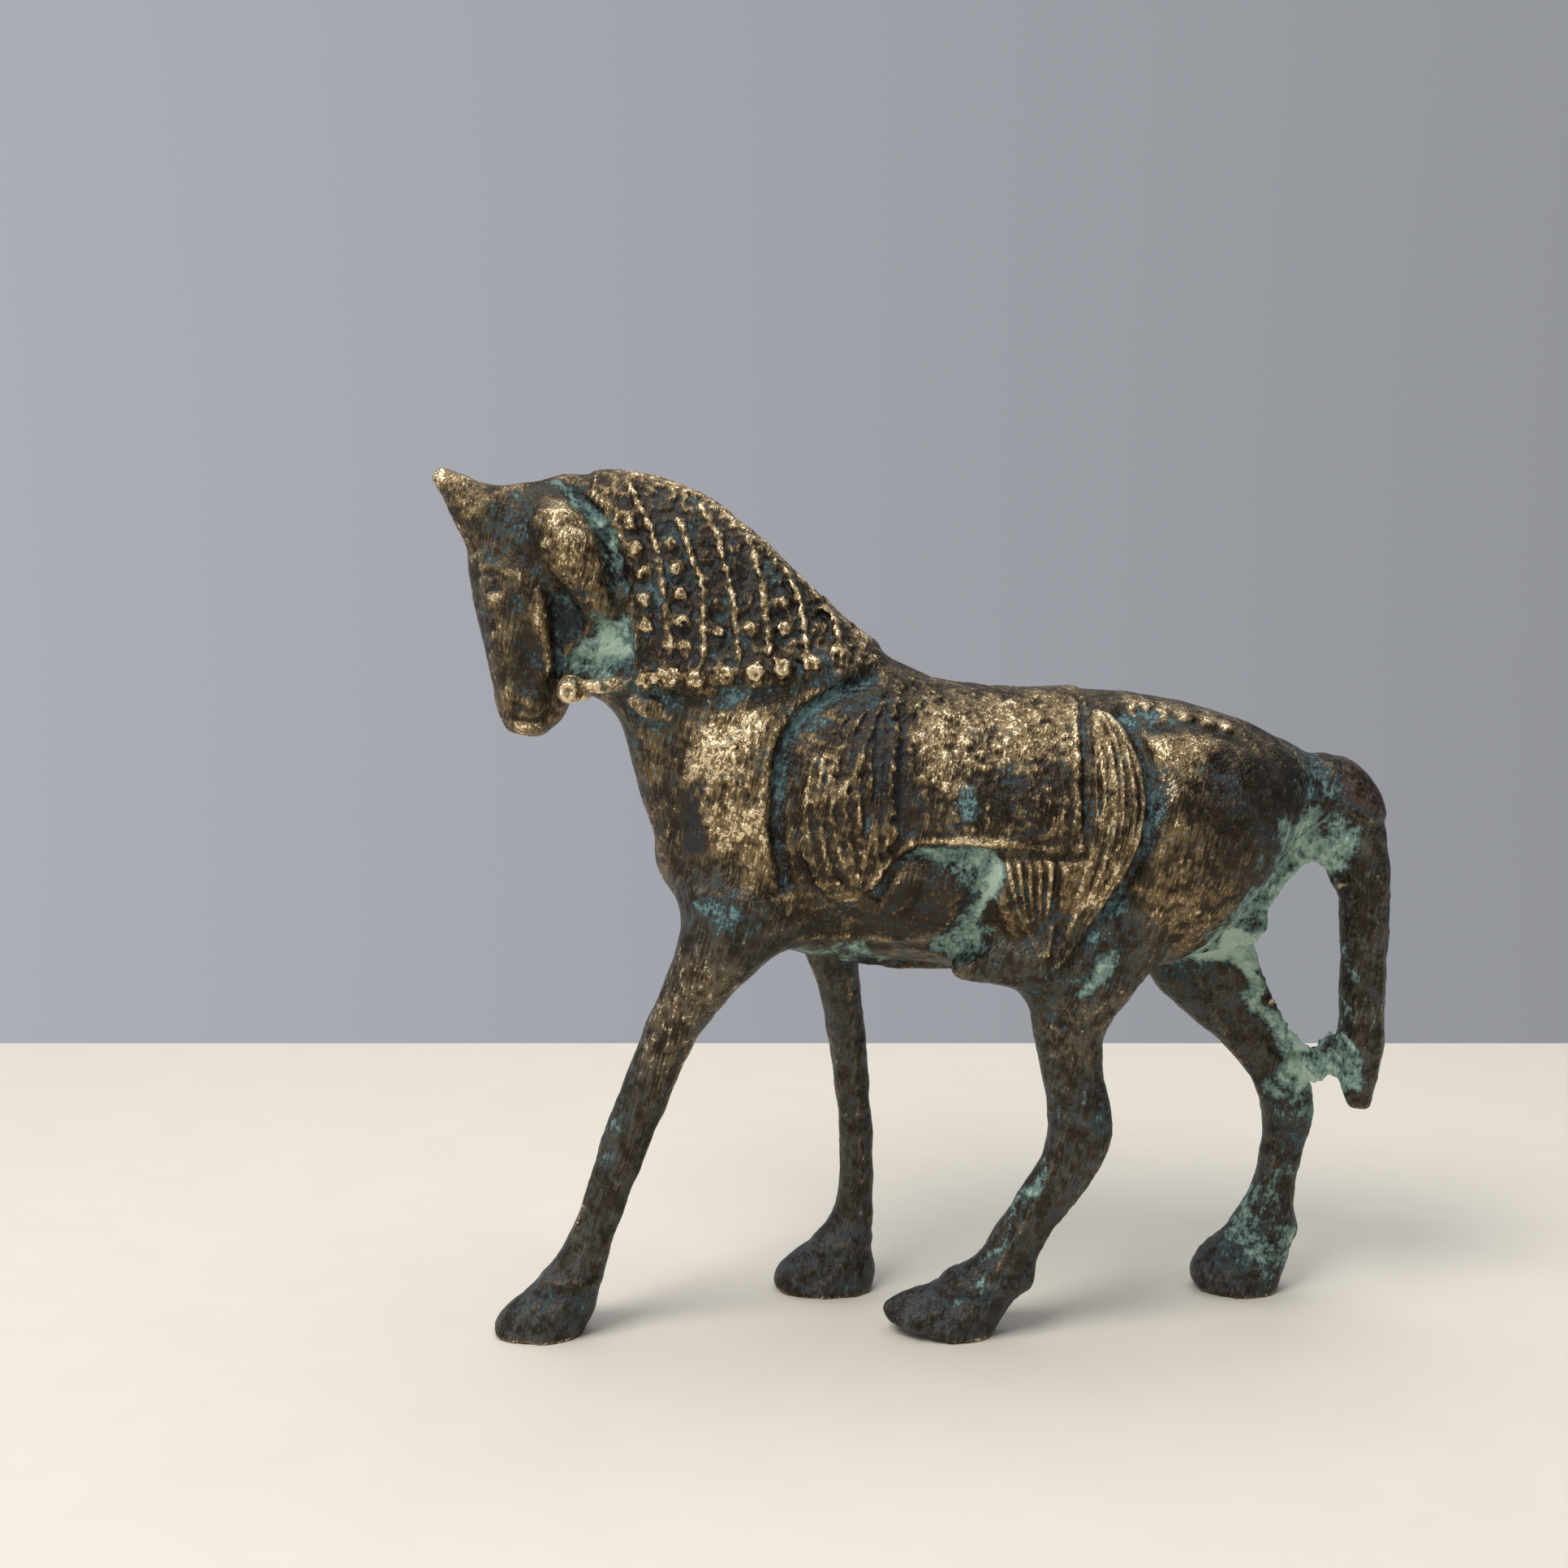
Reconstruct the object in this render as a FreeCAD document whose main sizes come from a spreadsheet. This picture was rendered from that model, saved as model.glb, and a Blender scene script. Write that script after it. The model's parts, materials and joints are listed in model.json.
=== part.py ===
"""Bronze horse statue: a walking horse with bridle, braided mane and saddle, cast in one go.

Millimetres, +Z up, the horse faces -X, the origin is the middle of its footprint on the table.
Every member of the casting is a solid of its own and meets its neighbours face to face.
Trunk, neck, head, legs and tail are lofts through elliptical cross sections. Harness and mane are
reliefs: the slice between such a loft and the same loft grown by the relief's height.
"""
import FreeCAD, Part
import math
import os

Vector = FreeCAD.Vector
SIDE_AXIS = Vector(0, 1, 0)
doc = FreeCAD.newDocument("BronzeHorse")
sheet = doc.addObject("Spreadsheet::Sheet", "Sizes")
sheet_rows = []
nodes = []


# ---------------------------------------------------------------- the sheet of sizes
def cell(alias, value):
    """Writes one number into the sheet under its alias and gives back how expressions name it."""
    row = len(sheet_rows) + 1
    sheet_rows.append(alias)
    sheet.set(f"A{row}", alias)
    sheet.set(f"B{row}", str(value))
    sheet.setAlias(f"B{row}", alias)
    return f"Sizes.{alias}"


DRIVING_SIZES = {
    "leg_spread": 8.65,        # from the centre plane to the middle of a hoof
    "saddle_height": 0.9,
    "flap_height": 1.6,
    "border_height": 2.0,
    "collar_height": 1.2,
    "girth_height": 0.7,
    "crupper_height": 1.4,
    "mane_height": 0.8,
    "cord_height": 1.7,
    "strap_height": 1.1,
    "tail_band_height": 0.7,
    "rein_bead_radius": 1.6,
    "rein_rod_radius": 0.9,
    "knot_radius": 1.05,
    "bit_ring_radius": 1.5,
    "bit_ring_bar": 0.65,
    "eye_radius": 1.4,
    "ear_tip_radius": 1.55,
    "seam_thickness": 2.4,
    "web_thickness": 2.8,
    "relief_reach": 26.0,      # how far out the relief outlines are extruded
    "spine_gap": 0.6,          # how near the centre plane a side relief comes
}
SIZE = {name: cell(name, value) for name, value in DRIVING_SIZES.items()}


# ---------------------------------------------------------------- cross sections of each member
# Each row: name, the two ends of the section in the XZ plane (front or top first), half width in Y.
TORSO = [
    ("breastbone", (-38.6, 78.0), (-38.6, 69.0), 4.2),
    ("chest", (-36.0, 84.0), (-36.0, 63.5), 8.2),
    ("shoulder", (-28.0, 92.0), (-28.0, 57.5), 12.6),
    ("elbow", (-16.0, 97.0), (-16.0, 55.0), 15.2),
    ("girth", (-4.0, 96.6), (-4.0, 54.0), 16.4),
    ("barrel", (10.0, 94.0), (10.0, 53.3), 16.6),
    ("flank", (24.0, 94.0), (24.0, 53.0), 16.2),
    ("hip", (36.0, 92.9), (36.0, 53.4), 16.2),
    ("haunch", (46.5, 90.0), (45.5, 59.5), 14.6),
    ("buttock", (55.0, 86.2), (52.0, 67.5), 9.2),
    ("dock", (61.0, 83.6), (58.0, 74.0), 4.6),
]
NECK = [
    ("poll", (-56.0, 112.0), (-51.5, 125.2), 4.6),
    ("nape", (-53.2, 96.0), (-41.0, 125.0), 6.6),
    ("upper_neck", (-45.6, 91.4), (-29.5, 120.4), 8.2),
    ("middle_neck", (-42.3, 84.5), (-18.5, 110.9), 10.2),
    ("lower_neck", (-39.8, 77.0), (-7.5, 101.2), 12.6),
    ("neck_root", (-34.0, 70.0), (3.0, 93.5), 13.2),
]
HEAD = [
    ("forelock", (-62.8, 121.2), (-53.5, 124.3), 3.2),
    ("brow", (-65.6, 116.5), (-48.5, 121.5), 5.6),
    ("cheekbone", (-65.9, 112.0), (-45.8, 112.5), 7.0),
    ("jaw", (-64.9, 106.5), (-46.8, 104.0), 6.8),
    ("nose_bridge", (-63.8, 100.5), (-50.2, 98.2), 5.6),
    ("bridle_nose", (-62.7, 95.0), (-51.2, 92.6), 5.0),
    ("nostril", (-61.6, 90.6), (-52.9, 88.9), 4.3),
    ("lips", (-59.9, 87.7), (-55.2, 86.9), 2.2),
]
TAIL = [
    ("tail_root", (57.0, 73.5), (60.5, 84.0), 4.2),
    ("tail_set", (60.3, 72.6), (66.8, 80.6), 3.9),
    ("tail_bend", (62.6, 68.6), (69.9, 73.2), 3.6),
    ("tail_top", (63.5, 60.0), (70.6, 61.0), 3.45),
    ("tail_middle", (63.9, 46.0), (70.35, 46.0), 3.2),
    ("tail_low", (64.5, 34.5), (69.5, 34.5), 2.5),
    ("tail_tip", (65.7, 31.0), (68.7, 31.0), 1.45),
]
EAR = [
    ("ear_root", (-66.8, 117.4), (-61.2, 121.4), 2.7),
    ("ear_middle", (-68.4, 120.4), (-64.0, 124.0), 2.1),
    ("ear_end", (-70.2, 123.5), (-67.8, 125.45), 1.5),
]
LEFT_FORE_LEG = [
    ("lf_shoulder", (-33.4, 66.0), (-17.5, 62.5), 5.6),
    ("lf_elbow", (-35.2, 57.0), (-22.6, 54.6), 5.8),
    ("lf_forearm", (-38.6, 48.2), (-31.0, 45.2), 3.8),
    ("lf_knee", (-43.4, 36.3), (-36.6, 33.6), 3.2),
    ("lf_cannon", (-47.4, 24.4), (-41.4, 22.2), 2.9),
    ("lf_fetlock", (-50.6, 15.6), (-44.6, 13.4), 2.95),
    ("lf_coronet", (-54.8, 9.0), (-46.0, 8.0), 4.2),
]
LEFT_FORE_HOOF = [
    ("lf_hoof_wall", (-59.0, 5.0), (-47.0, 4.6), 5.1),
    ("lf_hoof_edge", (-62.0, 1.9), (-48.1, 1.9), 5.35),
    ("lf_sole", (-62.3, 0.0), (-49.0, 0.0), 5.1),
]
RIGHT_FORE_LEG = [
    ("rf_shoulder", (-22.0, 60.0), (-3.0, 60.0), 6.4),
    ("rf_elbow", (-15.9, 52.0), (-8.0, 52.0), 3.9),
    ("rf_forearm", (-13.0, 42.0), (-7.0, 42.0), 2.95),
    ("rf_knee", (-11.6, 31.0), (-6.1, 31.0), 2.7),
    ("rf_cannon", (-10.9, 21.0), (-5.6, 21.0), 2.6),
    ("rf_fetlock", (-11.6, 13.4), (-5.7, 13.4), 2.9),
    ("rf_coronet", (-14.2, 8.6), (-5.7, 8.2), 4.1),
]
RIGHT_FORE_HOOF = [
    ("rf_hoof_wall", (-18.9, 4.8), (-5.5, 4.4), 5.1),
    ("rf_hoof_edge", (-21.2, 1.8), (-5.2, 1.8), 5.35),
    ("rf_sole", (-20.8, 0.0), (-5.5, 0.0), 5.1),
]
LEFT_HIND_LEG = [
    ("lh_thigh", (12.0, 61.0), (39.0, 64.0), 6.2),
    ("lh_stifle", (12.6, 51.4), (31.8, 51.8), 6.0),
    ("lh_gaskin", (16.6, 44.5), (27.0, 44.8), 4.5),
    ("lh_hock_top", (17.9, 37.8), (26.8, 38.6), 4.0),
    ("lh_hock", (18.9, 31.0), (28.0, 30.2), 4.0),
    ("lh_cannon", (15.0, 21.2), (22.2, 18.6), 3.4),
    ("lh_fetlock", (9.8, 13.0), (17.4, 10.0), 3.5),
    ("lh_coronet", (4.4, 8.6), (14.7, 6.0), 4.3),
]
LEFT_HIND_HOOF = [
    ("lh_hoof_wall", (-1.6, 5.6), (13.0, 3.2), 5.1),
    ("lh_hoof_edge", (-5.0, 3.4), (11.6, 0.9), 5.35),
    ("lh_sole", (-4.2, 1.7), (10.9, -1.1), 5.1),
]
RIGHT_HIND_LEG = [
    ("rh_thigh", (30.0, 60.0), (50.0, 72.0), 5.6),
    ("rh_stifle", (37.6, 48.8), (51.6, 57.4), 5.4),
    ("rh_gaskin", (45.2, 41.6), (54.6, 46.6), 4.2),
    ("rh_hock_top", (51.0, 36.2), (59.2, 39.0), 3.9),
    ("rh_hock", (54.3, 30.4), (62.7, 31.6), 3.9),
    ("rh_cannon", (55.0, 21.6), (61.4, 21.6), 3.1),
    ("rh_fetlock", (52.4, 13.8), (60.3, 12.8), 3.5),
    ("rh_coronet", (48.9, 8.5), (59.7, 8.0), 4.3),
]
RIGHT_HIND_HOOF = [
    ("rh_hoof_wall", (45.2, 5.3), (59.1, 4.4), 5.1),
    ("rh_hoof_edge", (44.1, 2.3), (58.4, 1.8), 5.35),
    ("rh_sole", (45.9, 0.0), (57.6, 0.0), 5.1),
]


# ---------------------------------------------------------------- lofts
def section(name, front, back, half_width, side="0", growth="0"):
    """An ellipse across a member. Its long axis runs from back to front in the XZ plane."""
    if name not in sheet_rows:
        cell(name, half_width)
        for suffix, point in (("front", front), ("back", back)):
            cell(f"{name}_{suffix}_x", point[0])
            cell(f"{name}_{suffix}_z", point[1])
    ends = {key: f"Sizes.{name}_{key}" for key in ("front_x", "front_z", "back_x", "back_z")}
    run = f"({ends['front_x']} - {ends['back_x']})"
    rise = f"({ends['front_z']} - {ends['back_z']})"
    ellipse = doc.addObject("Part::Ellipse", f"{name}_section")
    ellipse.Placement = FreeCAD.Placement(Vector(), FreeCAD.Rotation(SIDE_AXIS, 10))
    ellipse.setExpression("MajorRadius", f"hypot({run}; {rise}) / 2 + {growth}")
    ellipse.setExpression("MinorRadius", f"Sizes.{name} + {growth}")
    ellipse.setExpression("Placement.Rotation.Angle", f"atan2(-{rise}; {run})")
    ellipse.setExpression("Placement.Base.x", f"({ends['front_x']} + {ends['back_x']}) / 2")
    ellipse.setExpression("Placement.Base.y", side)
    ellipse.setExpression("Placement.Base.z", f"({ends['front_z']} + {ends['back_z']}) / 2")
    return ellipse


def sections(rows, side="0", growth="0"):
    return [section(*row, side=side, growth=growth) for row in rows]


def loft(name, ellipses):
    feature = doc.addObject("Part::Loft", name)
    feature.Sections = ellipses
    feature.Solid = True
    feature.Ruled = False
    return feature


def grown(member, rows, height):
    """The member's loft again, fatter all round by one of the sheet's heights."""
    return loft(f"{member}_plus_{height}", sections(rows, growth=SIZE[height]))


# ---------------------------------------------------------------- booleans and nodes
def cut(name, base, tools):
    """base less each of the tools in turn."""
    for number, tool in enumerate(tools):
        feature = doc.addObject("Part::Cut", f"{name}_cut_{number + 1}")
        feature.Base = base
        feature.Tool = tool
        base = feature
    return base


def common(name, first, second):
    feature = doc.addObject("Part::Common", name)
    feature.Base = first
    feature.Tool = second
    return feature


def fuse(name, shapes):
    feature = doc.addObject("Part::MultiFuse", name)
    feature.Shapes = shapes
    return feature


def node(label, feature):
    """Marks a feature as one of the statue's members; its label names its file."""
    feature.Label = label
    nodes.append(feature)
    return feature


def mirrored(label, feature):
    """The same member on the horse's right side."""
    feature_right = doc.addObject("Part::Mirroring", f"{label}_mirror")
    feature_right.Source = feature
    feature_right.Normal = SIDE_AXIS
    return node(label, feature_right)


# ---------------------------------------------------------------- outlines in the XZ plane
def outline(name, points, smooth=True):
    """A closed wire through the points, as one smooth curve or as straight runs."""
    corners = [Vector(x, 0, z) for x, z in points]
    if smooth:
        curve = Part.BSplineCurve()
        curve.interpolate(corners, PeriodicFlag=True)
        wire = Part.Wire([curve.toShape()])
    else:
        wire = Part.makePolygon(corners + corners[:1])
    feature = doc.addObject("Part::Feature", f"{name}_outline")
    feature.Shape = wire
    return feature


def prism(name, wire, start, length):
    """The outline extruded along Y, from start, both given as expressions of the sheet."""
    feature = doc.addObject("Part::Extrusion", f"{name}_prism")
    feature.Base = wire
    feature.Dir = SIDE_AXIS
    feature.DirMode = "Custom"
    feature.Solid = True
    feature.setExpression("LengthFwd", length)
    feature.setExpression("LengthRev", f"-({start})")
    return feature


def band(points, width):
    """The outline of a strip of that width along a line of points."""
    left, right = [], []
    for index, (x, z) in enumerate(points):
        before = points[max(index - 1, 0)]
        after = points[min(index + 1, len(points) - 1)]
        run, rise = after[0] - before[0], after[1] - before[1]
        reach = width / 2 / math.hypot(run, rise)
        left.append((x - rise * reach, z + run * reach))
        right.append((x + rise * reach, z - run * reach))
    return left + right[::-1]


def side_prism(name, wire):
    """The outline extruded over the horse's left side."""
    return prism(name, wire, f"-{SIZE['relief_reach']}", f"-{SIZE['spine_gap']}")


def through_prism(name, wire):
    """The outline extruded right through the horse."""
    return prism(name, wire, f"-{SIZE['relief_reach']}", SIZE["relief_reach"])


def relief(name, tool, fat_member, members):
    """What lies inside the tool, under the fat member's surface and above the members'."""
    return cut(name, common(f"{name}_slice", fat_member, tool), members)


def along(points, pitch):
    """Places at an even pitch along a line of points."""
    places, left_over = [], 0.0
    for (x0, z0), (x1, z1) in zip(points, points[1:]):
        length = math.hypot(x1 - x0, z1 - z0)
        at = left_over
        while at <= length:
            places.append((x0 + (x1 - x0) * at / length, z0 + (z1 - z0) * at / length))
            at += pitch
        left_over = at - length
    return places


def surface_y(member, place):
    """Where a line across the horse at that place first meets the member, on the left side."""
    x, z = place
    ray = Part.makeLine(Vector(x, -40, z), Vector(x, 0, z))
    return member.Shape.common(ray).BoundBox.YMin


def balls(name, places, member, radius):
    """Half-sunk spheres in a row on the member's left surface, as one group of solids."""
    found = []
    for number, place in enumerate(places):
        ball = doc.addObject("Part::Sphere", f"{name}_ball_{number + 1}")
        ball.setExpression("Radius", radius)
        middle = Vector(place[0], surface_y(member, place), place[1])
        ball.Placement = FreeCAD.Placement(middle, FreeCAD.Rotation(Vector(1, 0, 0), 90))
        found.append(cut(f"{name}_{number + 1}", ball, [member]))
    return group(name, found)


def group(name, features):
    """Several separate solids in one node."""
    feature = doc.addObject("Part::Compound", name)
    feature.Links = features
    return feature


def far_from(place, lines, distance):
    """True where the place keeps that distance from every run of every line."""
    for line in lines:
        for (x0, z0), (x1, z1) in zip(line, line[1:]):
            run, rise = x1 - x0, z1 - z0
            share = ((place[0] - x0) * run + (place[1] - z0) * rise) / (run * run + rise * rise)
            share = min(1.0, max(0.0, share))
            if math.hypot(place[0] - x0 - share * run, place[1] - z0 - share * rise) < distance:
                return False
    return True


# ---------------------------------------------------------------- trunk, neck and head
def build_trunk():
    torso = node("torso", loft("torso_loft", sections(TORSO)))
    head = node("head", loft("head_loft", sections(HEAD)))
    neck_loft = loft("neck_loft", sections(NECK))
    node("neck", cut("neck", neck_loft, [torso, head]))
    tail_loft = loft("tail_loft", sections(TAIL))
    tail = node("tail", cut("tail", tail_loft, [torso]))
    return torso, head, neck_loft, tail


def build_ears(head):
    ear_side = cell("ear_side", -3.1)
    cone = loft("ear_loft", sections(EAR, side=ear_side))
    tip = doc.addObject("Part::Sphere", "ear_tip")
    tip.setExpression("Radius", SIZE["ear_tip_radius"])
    tip.setExpression("Placement.Base.x", "(Sizes.ear_end_front_x + Sizes.ear_end_back_x) / 2")
    tip.setExpression("Placement.Base.y", ear_side)
    tip.setExpression("Placement.Base.z", "(Sizes.ear_end_front_z + Sizes.ear_end_back_z) / 2")
    left = node("left_ear", cut("left_ear", fuse("left_ear_whole", [cone, tip]), [head]))
    mirrored("right_ear", left)


JOWL_MIDDLE = Vector(-49.6, -4.3, 113.2)
JOWL_LEAN = Vector(-0.40, 0, 0.92)
EYE_PLACE = (-61.3, 109.0)
EYE_SINK = 0.5


def build_cheeks(head, neck_loft):
    """The round jowl on each side: an ellipsoid leaning back, taller than it is long."""
    jowl = doc.addObject("Part::Ellipsoid", "jowl")
    jowl.setExpression("Radius1", cell("jowl_half_height", 9.2))
    jowl.setExpression("Radius2", cell("jowl_half_length", 4.9))
    jowl.setExpression("Radius3", cell("jowl_half_width", 4.4))
    jowl.Placement = FreeCAD.Placement(JOWL_MIDDLE, FreeCAD.Rotation(Vector(0, 0, 1), JOWL_LEAN))
    left = node("left_cheek", cut("left_cheek", jowl, [head, neck_loft]))
    mirrored("right_cheek", left)
    return left


def build_eyes(head):
    eye = doc.addObject("Part::Sphere", "eye_ball")
    eye.setExpression("Radius", SIZE["eye_radius"])
    eye.Placement.Base = Vector(EYE_PLACE[0], surface_y(head, EYE_PLACE) + EYE_SINK, EYE_PLACE[1])
    left = node("left_eye", cut("left_eye", eye, [head]))
    mirrored("right_eye", left)


# ---------------------------------------------------------------- legs
def build_leg(name, leg_rows, hoof_rows, side, torso):
    """A leg and its hoof share the coronet section, where they meet. Soles are cut flat at z = 0."""
    leg_sections = sections(leg_rows, side=side)
    leg = cut(f"{name}_leg", loft(f"{name}_leg_loft", leg_sections), [torso])
    node(f"{name}_leg", leg)
    hoof_loft = loft(f"{name}_hoof_loft", [leg_sections[-1]] + sections(hoof_rows, side=side))
    node(f"{name}_hoof", cut(f"{name}_hoof", hoof_loft, [table_block()]))
    return leg


def table_block():
    """What the table takes up, to trim a sole that would go below it."""
    block = doc.getObject("table_block")
    if block is None:
        block = doc.addObject("Part::Box", "table_block")
        block.Length, block.Width, block.Height = 200, 60, 10
        block.Placement.Base = Vector(-100, -30, -10)
    return block


def build_legs(torso):
    left, right = f"-{SIZE['leg_spread']}", SIZE["leg_spread"]
    build_leg("left_fore", LEFT_FORE_LEG, LEFT_FORE_HOOF, left, torso)
    build_leg("right_fore", RIGHT_FORE_LEG, RIGHT_FORE_HOOF, right, torso)
    build_leg("left_hind", LEFT_HIND_LEG, LEFT_HIND_HOOF, left, torso)
    return build_leg("right_hind", RIGHT_HIND_LEG, RIGHT_HIND_HOOF, right, torso)


# ---------------------------------------------------------------- mane and bridle
MANE = [(-47.5, 128.0), (-47.3, 122.0), (-42.6, 114.0), (-41.2, 105.0), (-40.9, 93.8),
        (-33.0, 93.4), (-20.3, 94.6), (-11.0, 96.6), (-5.5, 98.2), (-5.0, 112.0), (-20.0, 128.0)]
CORDS = [
    [(-41.7, 124.3), (-39.3, 118.8), (-37.4, 113.4), (-36.4, 107.0), (-35.8, 98.2)],
    [(-34.7, 118.8), (-32.2, 112.1), (-31.2, 107.0), (-31.0, 98.4)],
    [(-31.7, 121.0), (-29.5, 116.6), (-27.7, 111.5), (-26.5, 105.1), (-26.1, 98.6)],
    [(-24.7, 116.4), (-23.1, 111.1), (-22.1, 105.6), (-21.5, 98.9)],
    [(-19.3, 111.3), (-17.6, 107.6), (-16.8, 103.8), (-16.5, 100.4)],
    [(-13.7, 106.1), (-12.0, 104.0), (-11.6, 101.2)],
]
KNOT_COLUMNS = [
    [(-41.6, 117.6), (-39.4, 110.8), (-39.0, 99.5)],
    [(-36.4, 118.4), (-34.2, 108.6), (-33.6, 99.8)],
    [(-32.6, 116.6), (-29.3, 107.0), (-28.6, 100.4)],
    [(-27.9, 117.0), (-25.3, 108.6), (-24.0, 100.6)],
    [(-22.2, 113.4), (-19.8, 106.0), (-19.2, 101.0)],
    [(-16.6, 108.6), (-14.6, 104.6), (-14.2, 102.0)],
]
KNOT_PITCH = 3.7
CORD_WIDTH = 1.5
REIN_BEADS = [(-39.0, 95.6), (-35.6, 96.0), (-32.0, 95.7), (-27.8, 96.2), (-23.8, 96.5), (-19.9, 97.1),
              (-15.9, 98.0), (-11.8, 99.2)]
REIN_START = (-49.4, -5.6, 94.2)
REIN_END = (-41.6, 94.9)
CHEEK_STRAP = [(-54.4, 109.0), (-54.2, 102.0), (-54.0, 93.4)]
CHEEK_STRAP_WIDTH = 1.9


def build_mane(torso, head, neck_loft):
    """A raised sheet over the crest and both sides of the neck, with cords and knots on it."""
    over_neck = grown("neck", NECK, "mane_height")
    mane_prism = through_prism("mane", outline("mane", MANE, smooth=False))
    node("mane", relief("mane", mane_prism, over_neck, [neck_loft, torso, head]))
    over_mane = grown("neck", NECK, "cord_height")
    strips = [outline(f"cord_{n}", band(line, CORD_WIDTH), smooth=False) for n, line in enumerate(CORDS)]
    strip_prisms = [side_prism(f"cord_{n}", strip) for n, strip in enumerate(strips)]
    cords = relief("left_mane_cords", fuse("cord_prisms", strip_prisms), over_mane, [over_neck])
    mirrored("right_mane_cords", node("left_mane_cords", cords))
    doc.recompute()
    clearance = CORD_WIDTH / 2 + DRIVING_SIZES["knot_radius"]
    places = [place for column in KNOT_COLUMNS for place in along(column, KNOT_PITCH)]
    places = [place for place in places if far_from(place, CORDS, clearance)]
    knots = balls("left_mane_knots", places, over_neck, SIZE["knot_radius"])
    mirrored("right_mane_knots", node("left_mane_knots", knots))
    return over_neck


def build_rein(head, neck_loft, over_neck):
    """A rod from the bit ring across the throat, then a row of beads along the mane's lower edge."""
    start = Vector(REIN_START[0], REIN_START[1], REIN_START[2])
    end = Vector(REIN_END[0], surface_y(neck_loft, REIN_END), REIN_END[1])
    rod = doc.addObject("Part::Cylinder", "rein_rod")
    rod.setExpression("Radius", SIZE["rein_rod_radius"])
    rod.Height = (end - start).Length
    rod.Placement = FreeCAD.Placement(start, FreeCAD.Rotation(Vector(0, 0, 1), end - start))
    ring = doc.addObject("Part::Torus", "bit_ring")
    ring.setExpression("Radius1", SIZE["bit_ring_radius"])
    ring.setExpression("Radius2", SIZE["bit_ring_bar"])
    ring.Placement = FreeCAD.Placement(start - Vector(0.6, 0, 0), FreeCAD.Rotation(Vector(1, 0, 0), 90))
    left_ring = node("left_bit_ring", cut("left_bit_ring", ring, [head, neck_loft]))
    mirrored("right_bit_ring", left_ring)
    free_rod = cut("rein_rod_free", rod, [neck_loft, head, ring])
    beads = balls("rein_bead", REIN_BEADS, over_neck, SIZE["rein_bead_radius"])
    left = node("left_rein", group("left_rein", [free_rod, beads]))
    mirrored("right_rein", left)


def build_cheek_straps(head, cheek):
    over_head = grown("head", HEAD, "strap_height")
    strip = outline("cheek_strap", band(CHEEK_STRAP, CHEEK_STRAP_WIDTH), smooth=False)
    left = relief("left_cheek_strap", side_prism("cheek_strap", strip), over_head, [head, cheek])
    mirrored("right_cheek_strap", node("left_cheek_strap", left))


TASSEL_PLACE = (-37.6, 91.2)
TASSEL_LIE = Vector(0.93, -0.12, -0.35)


def build_throat_tassels(torso, neck_loft):
    """A long drop lying on the side of the throat below the rein."""
    drop = doc.addObject("Part::Ellipsoid", "tassel_drop")
    drop.setExpression("Radius1", cell("tassel_half_length", 5.0))
    drop.setExpression("Radius2", cell("tassel_half_height", 1.7))
    drop.setExpression("Radius3", cell("tassel_half_depth", 1.7))
    middle = Vector(TASSEL_PLACE[0], surface_y(neck_loft, TASSEL_PLACE), TASSEL_PLACE[1])
    drop.Placement = FreeCAD.Placement(middle, FreeCAD.Rotation(Vector(0, 0, 1), TASSEL_LIE))
    left = node("left_throat_tassel", cut("left_throat_tassel", drop, [neck_loft, torso]))
    mirrored("right_throat_tassel", left)


# ---------------------------------------------------------------- saddlery
SADDLE = [(-3.2, 100.0), (-3.0, 84.0), (-3.6, 70.6), (7.0, 71.3), (18.6, 70.8), (23.4, 71.4), (23.8, 82.0),
          (23.8, 100.0)]
SADDLE_EDGE = [(-3.0, 71.5), (7.0, 72.2), (18.3, 71.7), (22.5, 73.2), (22.9, 82.0), (22.8, 91.5)]
BORDER_WIDTH = 1.4
FRONT_FLAP = [(-4.4, 93.0), (-9.4, 91.4), (-13.8, 86.6), (-16.9, 80.4), (-17.7, 73.5), (-15.7, 67.2),
              (-10.4, 63.8), (-6.2, 66.6), (-4.1, 71.2), (-3.4, 78.0), (-3.2, 86.0)]
REAR_FLAP = [(24.4, 91.6), (28.0, 89.6), (30.2, 84.0), (30.7, 77.5), (29.5, 70.5), (26.3, 63.6), (22.0, 57.8),
             (18.0, 55.4), (14.2, 56.6), (11.4, 61.0), (9.8, 67.0), (11.5, 70.4), (18.5, 70.6), (23.0, 71.2),
             (24.0, 76.0), (24.1, 84.0)]
COLLAR = [(-5.4, 95.4), (-12.3, 90.9), (-18.4, 84.2), (-19.9, 76.8), (-19.4, 69.8), (-17.4, 62.9)]
COLLAR_WIDTH = 2.4
GIRTH_PAD = [(-4.0, 68.6), (4.6, 68.2), (5.2, 64.5), (3.6, 58.6), (-6.4, 58.4), (-6.8, 63.6)]
CRUPPER = [(31.0, 90.6), (37.0, 89.2), (43.0, 87.4), (49.6, 84.4)]
CRUPPER_WIDTH = 2.6
TAIL_BAND = [(61.5, 84.0), (62.6, 79.2), (65.4, 76.4), (70.8, 75.2), (71.5, 84.0)]


def build_saddle(torso, neck_loft):
    """The seat over the back, and on each side a raised border along its lower and rear edges."""
    over_torso = grown("torso", TORSO, "saddle_height")
    seat_prism = through_prism("saddle", outline("saddle", SADDLE, smooth=False))
    node("saddle", relief("saddle", seat_prism, over_torso, [torso, neck_loft]))
    over_saddle = grown("torso", TORSO, "border_height")
    edge = outline("saddle_border", band(SADDLE_EDGE, BORDER_WIDTH), smooth=False)
    border = relief("left_saddle_border", side_prism("saddle_border", edge), over_saddle, [over_torso])
    mirrored("right_saddle_border", node("left_saddle_border", border))
    return seat_prism


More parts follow.
